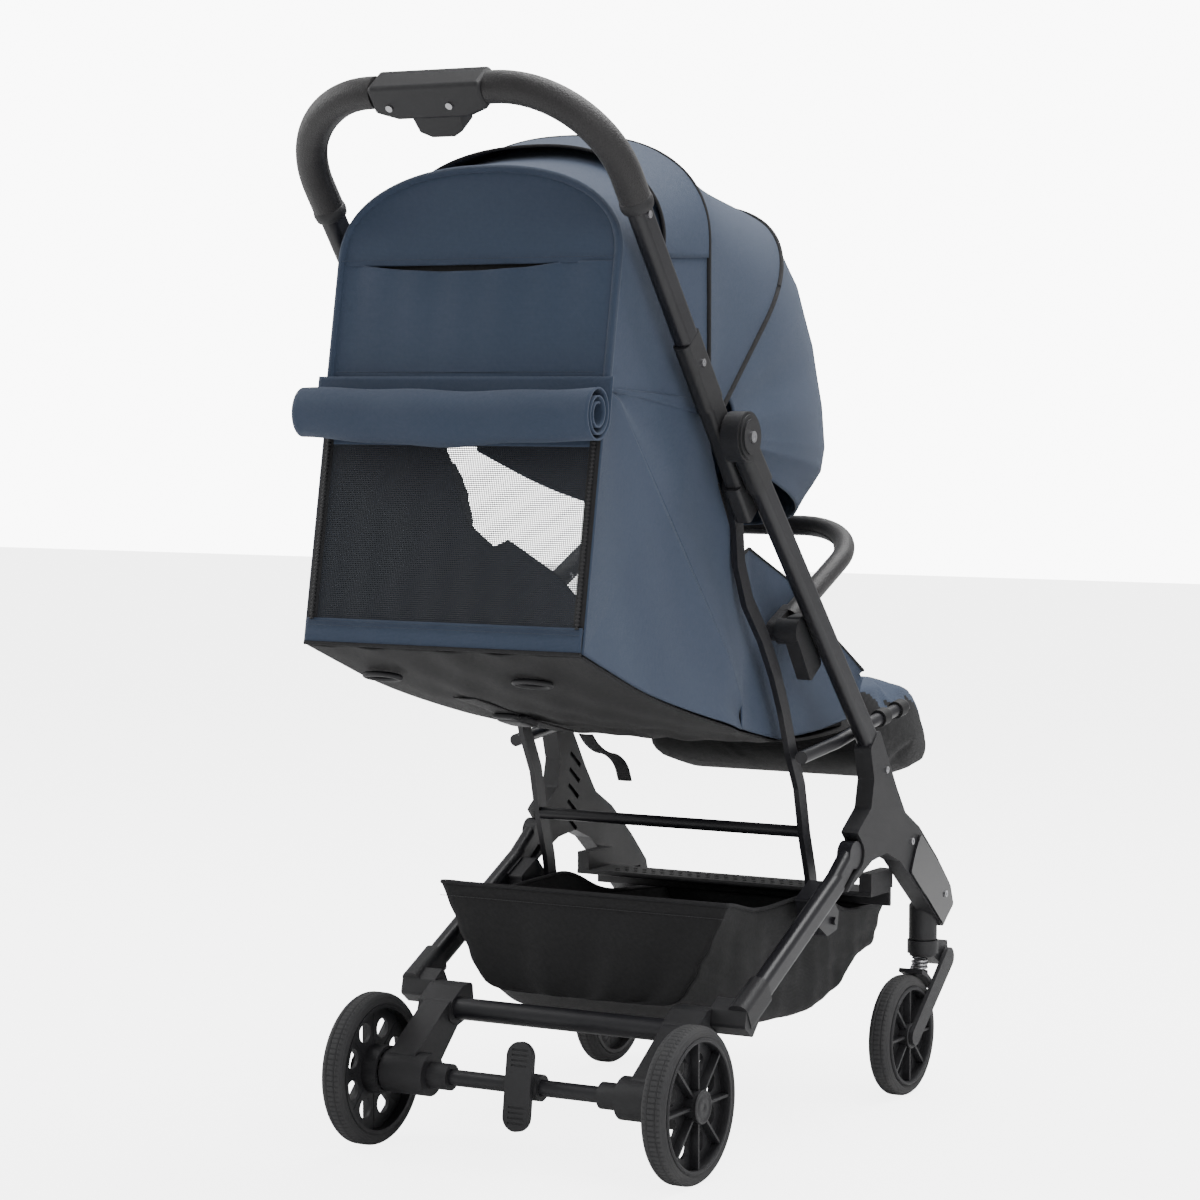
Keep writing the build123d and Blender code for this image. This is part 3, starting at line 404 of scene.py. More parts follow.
def tyre(name, hub, x, radius, width, blocks):
    """Revolved section; the tread is cut by distance from axle -= depth x (ring grooves or cross grooves)."""
    profile = tread_profile(radius, radius - 0.011, width)
    turn = np.linspace(0, 2 * pi, blocks * 6, endpoint=False)
    out, offset = profile[:, 0], profile[:, 1]
    tread = np.clip((out - (radius - 0.0016)) / 0.0012, 0, 1)
    rings = np.clip(1.6 - np.abs(np.abs(offset) - 0.0042) / 0.0006, 0, 1)
    cross = (np.arange(len(turn)) % 6 == 0).astype(float)
    between = (np.abs(offset) < 0.0042) | (np.abs(offset) > 0.0056)
    cut = np.maximum(rings[:, None], cross[None, :] * between[:, None]) * tread[:, None]
    wall_rings = 0.00035 * np.sin(out * 2 * pi / 0.0022) * (1 - tread)
    r = out[:, None] - 0.0013 * cut
    swell = offset[:, None] + (np.sign(offset) * wall_rings * (np.abs(offset) > width * 0.4))[:, None]
    grid = np.stack([x + np.broadcast_to(swell, r.shape), hub[0] + r * np.cos(turn),
                     hub[1] + r * np.sin(turn)], -1)
    return outward(surface(name, grid, closed_u=True, closed_v=True))


for end, hub, radius, width, blocks in (("rear", REAR_HUB, 0.075, 0.024, 90),
                                        ("front", FRONT_HUB, 0.063, 0.022, 76)):
    for side_name, side_sign in SIDES:
        ring = tyre(end + "_rubber_" + side_name, hub, side_sign * WHEEL_TRACK, radius, width, blocks)
        give(ring, rubber, end + "_wheel_" + side_name)
        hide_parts(end + "_tyre_" + side_name)

# Wheel discs: a raised ring and a domed cap over the axle end, and a rib ring inside the rim.
# They are part of the wheel moulding; the cap snaps over the axle clip.


def turned(name, x, side_sign, hub, section):
    """Closed section (distance from axle, outward offset) turned about the axle."""
    section = np.asarray(section, float)
    turn = np.linspace(0, 2 * pi, 72, endpoint=False)
    r, w = section[:, 0][:, None], section[:, 1][:, None]
    grid = np.stack([np.broadcast_to(x + side_sign * w, (len(section), 72)), hub[0] + r * np.cos(turn),
                     hub[1] + r * np.sin(turn)], -1)
    return outward(surface(name, grid, closed_u=True, closed_v=True))


for end, hub, rim, cap in (("rear", REAR_HUB, 0.064, 0.0165), ("front", FRONT_HUB, 0.052, 0.0135)):
    for side_name, side_sign in SIDES:
        face = 0.0145 if end == "rear" else 0.0112
        bead = turned(end + "_rim_bead_" + side_name, side_sign * WHEEL_TRACK, side_sign, hub,
                      soften([(rim - 0.0042, 0.006), (rim - 0.0042, 0.0118), (rim - 0.0025, 0.0131),
                              (rim - 0.0004, 0.0118), (rim - 0.0004, 0.006), (rim - 0.0042, 0.006)], 2)[:-1])
        give(bead, moulded, end + "_wheel_" + side_name)
        dome = turned(end + "_hub_cap_" + side_name, side_sign * WHEEL_TRACK, side_sign, hub,
                      [(0.00005, face + 0.0004), (0.00005, face + 0.0016), (cap * 0.55, face + 0.0016),
                       (cap * 0.62, face + 0.001), (cap * 0.78, face + 0.001), (cap * 0.86, face + 0.0018),
                       (cap * 0.96, face + 0.0014), (cap, face + 0.0002)])
        give(dome, moulded, end + "_wheel_" + side_name)

# Navy cloth of the hood and cabin.
# A dense polyester plain weave with a dull coated face; it is a little faded on top and puckers along seams.
weave, weave_in, weave_out = group_with(
    "plain_weave",
    [("Vector", "Vector", None), ("Pitch", "Float", 0.0011), ("Base", "Color", (0.05, 0.07, 0.11, 1)),
     ("Faded", "Color", (0.08, 0.1, 0.15, 1)), ("Depth", "Float", 0.5)],
    [("Height", "Float"), ("Color", "Color"), ("Roughness", "Float"), ("Gap", "Float")])
weave_axes = node_in(weave, "SeparateXYZ")
join(weave, weave_in.outputs["Vector"], weave_axes.inputs[0])
warp_phase = math_in(weave, "DIVIDE", weave_axes.outputs[0], weave_in.outputs["Pitch"])
weft_phase = math_in(weave, "DIVIDE", weave_axes.outputs[1], weave_in.outputs["Pitch"])
warp_wave = math_in(weave, "SINE", math_in(weave, "MULTIPLY", warp_phase, pi))
weft_wave = math_in(weave, "SINE", math_in(weave, "MULTIPLY", weft_phase, pi))
thread_height = math_in(weave, "ABSOLUTE", math_in(weave, "MULTIPLY", warp_wave, weft_wave))
slub = node_in(weave, "TexNoise")
slub.inputs["Scale"].default_value = 240.0
slub.inputs["Detail"].default_value = 4
join(weave, weave_in.outputs["Vector"], slub.inputs["Vector"])
fade_noise = node_in(weave, "TexNoise")
fade_noise.inputs["Scale"].default_value = 9.0
fade_noise.inputs["Detail"].default_value = 6
join(weave, weave_in.outputs["Vector"], fade_noise.inputs["Vector"])
join(weave, math_in(weave, "ADD", thread_height, slub.outputs["Fac"]), weave_out.inputs["Height"])
fade_mix = node_in(weave, "MixRGB")
fade_amount = math_in(weave, "MULTIPLY", fade_noise.outputs["Fac"], 0.7)
join(weave, fade_amount, fade_mix.inputs[0])
join(weave, weave_in.outputs["Base"], fade_mix.inputs[1])
join(weave, weave_in.outputs["Faded"], fade_mix.inputs[2])
# The cloth colour is darkened where the threads dip between crossings: painted shade in the gaps of the weave.
gap_shade_mix = node_in(weave, "MixRGB", blend_type="MULTIPLY")
painted_gap_shade = math_in(weave, "ADD", math_in(weave, "MULTIPLY", thread_height, 0.35), 0.65)
painted_gap_shade_colour = node_in(weave, "CombineColor")
for shade_slot in range(3):
    join(weave, painted_gap_shade, painted_gap_shade_colour.inputs[shade_slot])
join(weave, weave_in.outputs["Depth"], gap_shade_mix.inputs[0])
join(weave, fade_mix.outputs[0], gap_shade_mix.inputs[1])
join(weave, painted_gap_shade_colour.outputs[0], gap_shade_mix.inputs[2])
join(weave, gap_shade_mix.outputs[0], weave_out.inputs["Color"])
join(weave, math_in(weave, "ADD", math_in(weave, "MULTIPLY", slub.outputs["Fac"], 0.2), 0.68),
     weave_out.inputs["Roughness"])
join(weave, math_in(weave, "SUBTRACT", 1.0, thread_height), weave_out.inputs["Gap"])


def woven(name, base, faded, pitch, distance, coordinate="UV", **sockets):
    """Woven cloth on the piece's own weave map, or on Object coordinates for a remeshed pad."""
    mat, tree, shader = start_material(name, **sockets)
    place = node_in(tree, "TexCoord")
    group = use_group(tree, weave, place.outputs[coordinate], Pitch=pitch, Base=(*base, 1), Faded=(*faded, 1))
    join(tree, group.outputs["Color"], shader.inputs["Base Color"])
    join(tree, group.outputs["Roughness"], shader.inputs["Roughness"])
    bump_into(tree, shader, group.outputs["Height"], distance)
    return mat


NAVY, NAVY_FADED = (0.033, 0.054, 0.098), (0.045, 0.071, 0.124)
BLACK, BLACK_FADED = (0.0045, 0.0045, 0.0055), (0.008, 0.008, 0.0095)
CLOTH = 0.0018                   # thickness of the hood and cabin cloth
navy = woven("navy_cloth", NAVY, NAVY_FADED, 0.0012, 0.00018,
             Sheen_Weight=0.08, Sheen_Roughness=0.5)
black_cloth = woven("black_cloth", BLACK, BLACK_FADED, 0.0014, 0.0002,
                    Sheen_Weight=0.02, Sheen_Roughness=0.5)
piping_cloth = woven("piping_tape", (0.012, 0.012, 0.014), (0.02, 0.02, 0.023), 0.0011, 0.0003)
thread_navy = grained("navy_thread", (0.03, 0.045, 0.075), (0.05, 0.07, 0.11), 0.4, 0.65, 0.1, 3000.0, 0.0003)

PANEL_FOOT = np.array([0.385 + CENTRED, 0.507])
PANEL_RUN = np.array([-0.065, 0.355]) / np.hypot(0.065, 0.355)
PANEL_OUT = np.array([PANEL_RUN[1], -PANEL_RUN[0]])


def on_panel(x, up, out=0.0):
    """Point on the sloping back panel: x across, up its slope from the foot, out of its plane."""
    x, up, out = np.broadcast_arrays(np.asarray(x, float), np.asarray(up, float), np.asarray(out, float))
    y = PANEL_FOOT[0] + PANEL_RUN[0] * up + PANEL_OUT[0] * out
    z = PANEL_FOOT[1] + PANEL_RUN[1] * up + PANEL_OUT[1] * out
    return np.stack([x, y, z], -1)


def arch_line(half, straight, top, foot, power, count):
    """Arch from +X foot to -X foot: straight sides, then |x/half|^p + |h/height|^p = 1 over the top."""
    angle = np.linspace(0, pi, 400)
    x = half * np.sign(np.cos(angle)) * np.abs(np.cos(angle)) ** (2 / power)
    h = straight + (top - straight) * np.sin(angle) ** (2 / power)
    line = np.vstack([[half, foot], np.stack([x, h], -1), [-half, foot]])
    return even(line, count)


def in_bow_plane(line, angle):
    """Arch carried into a plane through the fold hinge, its height pointing out at this angle above +Y."""
    out = np.array([cos(radians(angle)), sin(radians(angle))])
    return np.stack([line[:, 0], HINGE[0] + CENTRED + out[0] * line[:, 1], HINGE[1] + out[1] * line[:, 1]], -1)


ACROSS = 161
REAR_ARCH = dict(half=0.1495, straight=0.362, top=0.445, foot=0.238, power=2.25)
rear_arch_line = arch_line(count=ACROSS, **REAR_ARCH)
rear_arch = on_panel(rear_arch_line[:, 0], rear_arch_line[:, 1])
mid_arch = in_bow_plane(arch_line(0.1512, 0.18, 0.2855, 0.02, 2.35, ACROSS), 90)
front_arch = in_bow_plane(arch_line(0.1512, 0.15, 0.3365, 0.02, 2.35, ACROSS), 137)


def hood_section(first, second, rows, sag, ripples, seed):
    """Cloth between two bows: first + u (second - first), pulled in by sag x sin(pi u) and puckered at both bows.

    The inward direction is towards the fold hinge line; puckers are sin waves across that fade from each bow.
    """
    u = np.linspace(0, 1, rows)[:, None]
    grid = first[None] * (1 - u[..., None]) + second[None] * u[..., None]
    inside = np.array([0.0, HINGE[0] + CENTRED + 0.02, HINGE[1] + 0.09])
    inward = inside - grid
    inward /= np.linalg.norm(inward, axis=2, keepdims=True)
    v = np.linspace(0, 1, grid.shape[1])[None, :]
    rng = np.random.default_rng(seed)
    phases = rng.uniform(0, 2 * pi, 6)
    waves = sum(np.sin(2 * pi * (7 + 5 * k) * v + phases[k] + 2.5 * u) / (1 + k) for k in range(6)) / 2.4
    edge = np.exp(-u / 0.09) + np.exp(-(1 - u) / 0.09)
    slow = np.sin(2 * pi * 2.2 * v + phases[0] + 3 * u) * np.sin(pi * u)
    top = np.clip(np.sin(pi * v), 0, 1) ** 0.5
    amount = sag * np.sin(pi * u) * (0.35 + 0.65 * top) + ripples * waves * edge * (0.3 + top)
    amount = amount + ripples * 1.4 * slow
    amount *= np.clip(np.sin(pi * u), 0, 1) ** 0.25
    return grid + inward * amount[..., None]


def lay_cloth(obj, mat, grid):
    finish_with(obj, mat)
    down = np.linalg.norm(np.diff(grid, axis=0), axis=2).sum(0).max()
    across = np.linalg.norm(np.diff(grid, axis=1), axis=2).sum(1).max()
    first = np.cross(grid[1:, :-1] - grid[:-1, :-1], grid[:-1, 1:] - grid[:-1, :-1])
    second = np.cross(grid[1:, 1:] - grid[1:, :-1], grid[1:, 1:] - grid[:-1, 1:])
    area = float((np.linalg.norm(first, axis=2) + np.linalg.norm(second, axis=2)).sum() / 2)
    flat = (float(across), float(max(down, area / across / 0.999)))
    area = max(area, 0.31 * flat[0] * flat[1])
    return obj


# Hood, rear section: from the arch at the top of the back panel to the middle bow.
# Cut in one piece with a sleeve at each bow.
rear_hood_grid = hood_section(rear_arch, mid_arch, 60, 0.004, 0.0009, 3)
rear_hood = thicken(surface("hood_rear", rear_hood_grid), CLOTH, -1)
lay_cloth(rear_hood, navy, rear_hood_grid)
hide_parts("canopy_rear")
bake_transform(rear_hood)

# Hood, middle section, between the middle and front bows, sewn to both with black piping.
middle_grid = hood_section(mid_arch, front_arch, 60, 0.005, 0.0008, 5)
middle_hood = thicken(surface("hood_middle", middle_grid), CLOTH, -1)
lay_cloth(middle_hood, navy, middle_grid)
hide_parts("canopy_middle")


def fan_blend(obj):
    """Bakes the piece's transform into its mesh."""
    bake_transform(obj)


fan_blend(middle_hood)

# Sun visor: the front of the hood, a double brim that runs down from the front bow and turns under at its edge.
# It is stiffened cloth, and dips a little between the front bow and the brim.
visor_lines = []
for angle, half, straight, top, foot in ((137, 0.1512, 0.15, 0.3365, 0.055), (150, 0.1515, 0.15, 0.359, 0.056),
                                         (163, 0.1515, 0.15, 0.374, 0.058), (175, 0.1515, 0.15, 0.384, 0.06),
                                         (183, 0.1515, 0.15, 0.388, 0.06), (187.5, 0.150, 0.147, 0.384, 0.061),
                                         (190, 0.147, 0.142, 0.372, 0.062), (193, 0.1445, 0.138, 0.355, 0.063),
                                         (197, 0.143, 0.134, 0.338, 0.064)):
    visor_lines.append(in_bow_plane(arch_line(half, straight, top, foot, 2.35, ACROSS), angle))
visor_lines = np.array(visor_lines)
visor_grid = np.stack([even(visor_lines[:, k], 80) for k in range(ACROSS)], 1)
visor_u = np.linspace(0, 1, 80)[:, None]
visor_v = np.linspace(0, 1, ACROSS)[None, :]
visor_fold = (0.0022 * np.sin(2 * pi * (visor_u * 2.4 + 0.9 * np.abs(visor_v - 0.5)))
              * np.exp(-((np.abs(visor_v - 0.5) - 0.36) / 0.1) ** 2) * np.sin(pi * visor_u))
visor_dip = 0.004 * np.sin(pi * np.clip(visor_u / 0.75, 0, 1)) * np.clip(np.sin(pi * visor_v), 0, 1) ** 0.6
visor_in = np.array([0.0, HINGE[0] + CENTRED - 0.05, HINGE[1] + 0.02]) - visor_grid
visor_in /= np.linalg.norm(visor_in, axis=2, keepdims=True)
visor_grid = visor_grid + visor_in * (visor_fold + visor_dip)[..., None]
visor = thicken(surface("hood_visor", visor_grid), 0.002, -1)
lay_cloth(visor, navy, visor_grid)
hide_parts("visor")
fan_blend(visor)

# Piping over the middle and front bows, and the bound edge of the arch behind.
# A cord in folded tape, sewn into each seam of the hood; the rear edge is bound in the navy cloth.


def piping(name, line, radius, mat, body, outward_by=0.001):
    """Tube along an arch, lifted outwards from the hood."""
    centre = line.mean(0)
    away = line - centre
    away /= np.linalg.norm(away, axis=1, keepdims=True)
    obj = round_tube(name, even(line + away * outward_by, 320), radius, 10)
    return give(obj, mat, body)


piping("mid_bow_piping", mid_arch, 0.0026, piping_cloth, "mid_bow", 0.0004)
piping("front_bow_piping", front_arch, 0.0026, piping_cloth, "front_bow", 0.0004)
piping("rear_arch_binding", rear_arch, 0.0042, navy, "frame", 0.0)

# Vent flap of the hood: a loose piece of the same cloth sewn along the middle bow.
# It lies over the top of the rear section with an open hem, so a dark gap shows under its back edge.
flap_v = np.linspace(0.2, 0.8, 91)
flap_index = flap_v * (ACROSS - 1)
flap_rows = []
for step in np.linspace(0, 1, 30):
    source = 59 - step * 30
    low = int(source)
    row = rear_hood_grid[low] * (1 - (source - low)) + rear_hood_grid[min(low + 1, 59)] * (source - low)
    picked = np.stack([np.interp(flap_index, np.arange(ACROSS), row[:, k]) for k in range(3)], -1)
    away = picked - np.array([0, HINGE[0] + CENTRED + 0.02, HINGE[1] + 0.09])
    away /= np.linalg.norm(away, axis=1, keepdims=True)
    crown = np.clip(np.sin(pi * (flap_v - 0.2) / 0.6), 0, 1) ** 0.5
    flap_rows.append(picked + away * ((0.0012 + 0.0105 * step ** 1.2 * crown)[:, None]))
flap_grid = np.array(flap_rows)
vent_flap = thicken(surface("hood_vent_flap", flap_grid), 0.0016, 0)
lay_cloth(vent_flap, navy, flap_grid)
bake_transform(vent_flap)
flap_hem = round_tube("vent_flap_hem", even(flap_grid[-1], 200), 0.0016, 8)
finish_with(flap_hem, piping_cloth)
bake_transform(flap_hem)

# Back panel above the window, in two pieces with a slit pocket between them.
# The upper piece fills the arch; the lower piece's top edge gapes a little over a dark lining.
POCKET_UP = 0.357
SLIT_ENDS = (0.127, -0.092)
panel_half = REAR_ARCH["half"] - 0.002


def arch_height(x):
    """Height of the rear arch above x."""
    share = np.clip(np.abs(x) / REAR_ARCH["half"], 0, 1)
    rise = (1 - share ** REAR_ARCH["power"]) ** (1 / REAR_ARCH["power"])
    return REAR_ARCH["straight"] + (REAR_ARCH["top"] - REAR_ARCH["straight"]) * rise


panel_x = np.linspace(panel_half, -panel_half, 141)
panel_t = np.linspace(0, 1, 40)[:, None]
upper_up = (POCKET_UP - 0.002) + panel_t * (arch_height(panel_x)[None] - 0.001 - POCKET_UP + 0.002)
upper_out = 0.0012 + 0.003 * np.sin(pi * panel_t) * np.cos(pi * panel_x / 0.32)[None] ** 2
upper_grid = on_panel(panel_x[None] + 0 * upper_up, upper_up, upper_out)
upper_panel = thicken(surface("back_panel_upper", upper_grid), CLOTH, -1)
lay_cloth(upper_panel, navy, upper_grid)
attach(upper_panel, "frame")
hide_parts("back_panel")

slit_share = np.clip((panel_x - SLIT_ENDS[1]) / (SLIT_ENDS[0] - SLIT_ENDS[1]), 0, 1)
slit_gape = np.clip(np.sin(pi * slit_share), 0, 1) ** 0.7
lower_t = np.linspace(0, 1, 70)[:, None]
lower_top = POCKET_UP - 0.0085 * slit_gape
lower_up = 0.186 + lower_t * (lower_top[None] - 0.186)
drape = 0.0014 * np.sin(panel_x * 95 + 1.2)[None] * np.sin(panel_x * 41)[None] * lower_t ** 2
lower_out = (0.0016 + 0.0042 * np.sin(pi * lower_t) * np.cos(pi * panel_x / 0.32)[None] ** 2
             + 0.0032 * lower_t ** 6 * slit_gape[None] + drape)
lower_grid = on_panel(panel_x[None] + 0 * lower_up, lower_up, lower_out)
lower_panel = thicken(surface("back_panel_lower", lower_grid), CLOTH, -1)
lay_cloth(lower_panel, navy, lower_grid)
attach(lower_panel, "frame")

lining_up = np.linspace(0.325, 0.372, 8)[:, None]
lining_grid = on_panel(panel_x[None, 6:-6] * 0.99 + 0 * lining_up, lining_up + 0 * panel_x[None, 6:-6], -0.0022)
lining = thicken(surface("pocket_lining", lining_grid), 0.0008, -1)
lay_cloth(lining, black_cloth, lining_grid)
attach(lining, "frame")


def stitch_row(name, path, mat, body, pitch=0.0032, radius=0.00042):
    """Row of thread stitches: a thin tube whose radius dips between stitches."""
    length = np.linalg.norm(np.diff(path, axis=0), axis=1).sum()
    count = max(int(length / pitch) * 4, 8)
    line = even(path, count)
    swell = radius * (0.35 + 0.65 * np.abs(np.sin(np.arange(count) * pi / 4)))
    obj = round_tube(name, line, swell, 6)
    return give(obj, mat, body)


stitch_row("pocket_stitching", on_panel(np.linspace(panel_half, -panel_half, 60), POCKET_UP + 0.003, 0.0042),
           thread_navy, "frame")
stitch_row("window_top_stitching", on_panel(np.linspace(0.14, -0.14, 40), 0.2535, 0.0062), thread_navy, "frame")

# Rolled window cover: a strip of the hood cloth hung from the panel seam, rolled up and sewn into the seam above.
# It is rolled loosely by hand, so it is flatter than round, sags in the middle and shows its turns at the ends.
ROLL_UP, ROLL_OUT, ROLL_HALF = 0.213, 0.0262, 0.159
ROLL_TALL, ROLL_DEEP = 1.12, 0.94
roll_turn = np.linspace(0, 2 * pi * 2.75, 150)
roll_radius = 0.0085 + 0.0155 * roll_turn / roll_turn[-1]
roll_x = np.linspace(ROLL_HALF, -ROLL_HALF, 90)[None, :]
roll_start = -0.55 * pi
roll_r = roll_radius[:, None] * (1 - 0.035 * np.sin(roll_x * 60 + roll_turn[:, None] * 0.7))
roll_r = roll_r + 0.0011 * np.sin(roll_x * 23 + 1.0)
roll_angle = roll_start - (roll_turn[-1] - roll_turn)[:, None] + 0.0 * roll_x
sag = -0.0045 * np.sin(pi * (roll_x + ROLL_HALF) / (2 * ROLL_HALF)) ** 2
roll_up = ROLL_UP + sag + roll_r * np.cos(roll_angle) * ROLL_TALL
roll_out = ROLL_OUT + roll_r * np.sin(roll_angle) * ROLL_DEEP
lip_up = np.linspace(0, 1, 14)[1:, None]
lip_from_up, lip_from_out = roll_up[-1:], roll_out[-1:]
tail_up = lip_from_up + lip_up * (0.2495 - lip_from_up)
tail_out = lip_from_out * (1 - lip_up) ** 1.6 + 0.0058 * (1 - (1 - lip_up) ** 1.6)
roll_grid = on_panel(roll_x + 0 * np.vstack([roll_up, tail_up]), np.vstack([roll_up, tail_up]),
                     np.vstack([roll_out, tail_out]))
window_roll = thicken(surface("window_roll", roll_grid), 0.0016, 0)
lay_cloth(window_roll, navy, roll_grid)
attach(window_roll, "frame")
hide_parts("window_flap")

# Rear window: warp-knitted polyester net, black, stretched between zips at its sides.
# Its holes are cut out of the surface by alpha, so the dark cabin and the light beyond show through.
net, net_tree, net_shader = start_material("window_net", Roughness=0.7)
net.surface_render_method = "DITHERED"
net_place = node_in(net_tree, "TexCoord")
net_group = use_group(net_tree, weave, net_place.outputs["UV"], Pitch=0.0019, Base=(0.02, 0.024, 0.032, 1),
                      Faded=(0.03, 0.034, 0.042, 1))
join(net_tree, net_group.outputs["Color"], net_shader.inputs["Base Color"])
net_hole = node_in(net_tree, "MapRange")
net_hole.inputs["From Min"].default_value = 0.28
net_hole.inputs["From Max"].default_value = 0.4
net_hole.inputs["To Min"].default_value = 0.0
net_hole.inputs["To Max"].default_value = 1.0
join(net_tree, net_group.outputs["Gap"], net_hole.inputs["Value"])
join(net_tree, net_hole.outputs[0], net_shader.inputs["Alpha"])
net_t = np.linspace(0, 1, 60)[:, None]
net_x = np.linspace(0.1435, -0.1435, 90)[None, :]
net_up = 0.02 + net_t * (0.202 - 0.02)
net_out = (0.001 + 0.0016 * np.sin(pi * net_t) * np.cos(pi * net_x / 0.3)
           + 0.0004 * np.sin(net_x * 160) * (1 - net_t))
net_grid = on_panel(net_x + 0 * net_up, net_up + 0 * net_x, net_out)
window = surface("window_net", net_grid)
outward(window)
lay_cloth(window, net, net_grid)
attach(window, "frame")
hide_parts("window_mesh")

# Bottom hem of the window, turned up and stitched twice, with a black piping under it.
hem_t = np.linspace(0, 1, 14)[:, None]
hem_x = np.linspace(0.1488, -0.1488, 121)[None, :]
hem_up = -0.001 + hem_t * 0.0235
hem_out = 0.0022 + 0.0015 * np.sin(pi * hem_t) + 0.0005 * np.sin(hem_x * 120) * hem_t
hem_grid = on_panel(hem_x + 0 * hem_up, hem_up + 0 * hem_x, hem_out)
hem = thicken(surface("window_hem_band", hem_grid), 0.002, -1)
lay_cloth(hem, navy, hem_grid)
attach(hem, "frame")
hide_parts("window_hem")


def fold_flat(obj):
    """Gives the piece its own copy of its mesh."""
    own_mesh(obj)
    return obj


fold_flat(window)
fold_flat(hem)
for row_name, row_up, row_out in (("high", 0.0195, 0.0046), ("low", 0.0155, 0.0050)):
    row_path = on_panel(np.linspace(0.147, -0.147, 60), row_up, row_out)
    fold_flat(stitch_row("hem_stitching_" + row_name, row_path, thread_navy, "frame"))
hem_piping = round_tube("hem_piping", on_panel(np.linspace(0.149, -0.149, 120), -0.0015, 0.0022), 0.0019, 10)
give(hem_piping, piping_cloth, "frame")
fold_flat(hem_piping)
for side_name, side_sign in SIDES:
    zip_up = np.linspace(0.021, 0.203, 200)
    zip_path = on_panel(side_sign * 0.1432, zip_up, 0.0026)
    teeth = 0.0016 + 0.0006 * np.sign(np.sin(np.arange(200) * pi / 2 + 0.5))
    zip_line = round_tube("window_zip_" + side_name, zip_path, teeth, 8)
    give(zip_line, thread_dark, "frame")
    fold_flat(zip_line)
    tape_grid = np.stack([on_panel(side_sign * edge, zip_up[::8], 0.0012) for edge in (0.1496, 0.1385)], 1)
    tape = thicken(surface("zip_tape_" + side_name, tape_grid), 0.0009, 0)
    give(tape, piping_cloth, "frame")
    fold_flat(tape)

# Cabin sides: the same navy cloth from the hood down to the underside, narrowing in beside the bumper.
# Each side is two surfaces joined on the line the lower cabin is pushed up to when the frame folds.
SPLIT = [(0.062, 0.437), (0.318, 0.731)]
CABIN_HALVES = (0.1372, 0.1493)  # half width beside the bumper, and behind it


def side_point(side_sign, y, z, half, ruffle):
    """Cabin side at (y, z): x steps smoothly from the seat's half width to the cabin's, less the ruffle."""
    step = np.clip((y - 0.028) / 0.085, 0, 1)
    narrow = half[0] + (half[1] - half[0]) * step * step * (3 - 2 * step)
    return np.stack([side_sign * (narrow - ruffle), y + CENTRED, z], -1)


def side_cloth(side_sign, top, bottom, rows, seed):
    """Ruled surface from the top edge to the bottom edge with soft diagonal creases.

    Creases are a sum of sine ridges along the leg's direction, deepest in the middle of the cloth.
    """
    t = np.linspace(0, 1, rows)[:, None, None]
    flat = top[None] * (1 - t) + bottom[None] * t
    y, z = flat[..., 0], flat[..., 1]
    along = y * 0.66 + z * 0.75
    off = y * 0.75 - z * 0.66
    rng = np.random.default_rng(seed)
    a, b, c = rng.uniform(0, 2 * pi, 3)
    crease = 0.5 + 0.5 * np.sin(off * 62 + 1.6 * np.sin(along * 9 + a) + b)
    crease = crease * (0.5 + 0.5 * np.sin(along * 21 + c + off * 9)) * 0.0022
    bow = 0.0028 * np.sin(pi * t[..., 0])
    return side_point(side_sign, y, z, CABIN_HALVES, (crease + bow) * np.clip(np.sin(pi * t[..., 0]), 0, 1) ** 0.5)


rear_edge = np.array([[0.3848, 0.5065], [0.3692, 0.593], [0.342, 0.7435]])
low_edge = soften([(0.062, 0.4105), (0.183, 0.4385), (0.27, 0.4625), (0.336, 0.4875), (0.3848, 0.5065)], 2)
lower_bottom = np.vstack([even(low_edge, 90)[:-1], even(rear_edge, 60)])
split_line = np.array(SPLIT + [(0.342, 0.7435)])
lower_split = even(split_line, len(lower_bottom))
front_top = [(0.342, 0.7435), (0.25, 0.7385), (0.165, 0.7325), (0.128, 0.652), (0.1, 0.606), (0.062, 0.58),
             (0.04, 0.586), (-0.06, 0.545), (-0.14, 0.492), (-0.2215, 0.447)]
front_bottom = [(0.342, 0.7435), (0.318, 0.731), (0.062, 0.437), (0.062, 0.411), (0.02, 0.402), (-0.028, 0.392),
                (-0.12, 0.3935), (-0.19, 0.4), (-0.2215, 0.4385)]
for side_name, side_sign in SIDES:
    back_grid = side_cloth(side_sign, lower_split, lower_bottom, 60, 11)
    side_back = thicken(surface("cabin_side_rear_" + side_name, back_grid), CLOTH, 0)
    lay_cloth(side_back, navy, back_grid)
    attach(side_back, "frame")
    fold_flat(side_back)
    front_grid = side_cloth(side_sign, even(front_top, 170), even(front_bottom, 170), 50, 12)
    side_front = thicken(surface("cabin_side_front_" + side_name, front_grid), CLOTH, 0)
    lay_cloth(side_front, navy, front_grid)
    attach(side_front, "frame")
    edge_path = side_point(side_sign, *even(front_top[3:], 160).T, CABIN_HALVES, 0.0)
    binding = round_tube("side_binding_" + side_name, edge_path, 0.0017, 8)
    give(binding, piping_cloth, "frame")
    corner_path = side_point(side_sign, *even(rear_edge[::-1], 120).T, CABIN_HALVES, -0.0004)
    corner = round_tube("cabin_corner_seam_" + side_name, corner_path, 0.0016, 8)
    give(corner, navy, "frame")
    fold_flat(corner)
    if side_sign == 1:
        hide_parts("cabin_sides_lower")
        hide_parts("cabin_sides_upper")

# Underside of the cabin: black cloth sewn between the two sides, sagging between them.
# It carries two oval loops and the strap that sets how far the backrest lies down.
FLOOR = soften([(0.3845, 0.5045), (0.336, 0.486), (0.27, 0.461), (0.183, 0.436), (0.062, 0.407)], 2)
SEAT_FLOOR = soften([(0.066, 0.408), (0.02, 0.4), (-0.028, 0.3885), (-0.12, 0.386), (-0.19, 0.389),
                     (-0.226, 0.4)], 2)


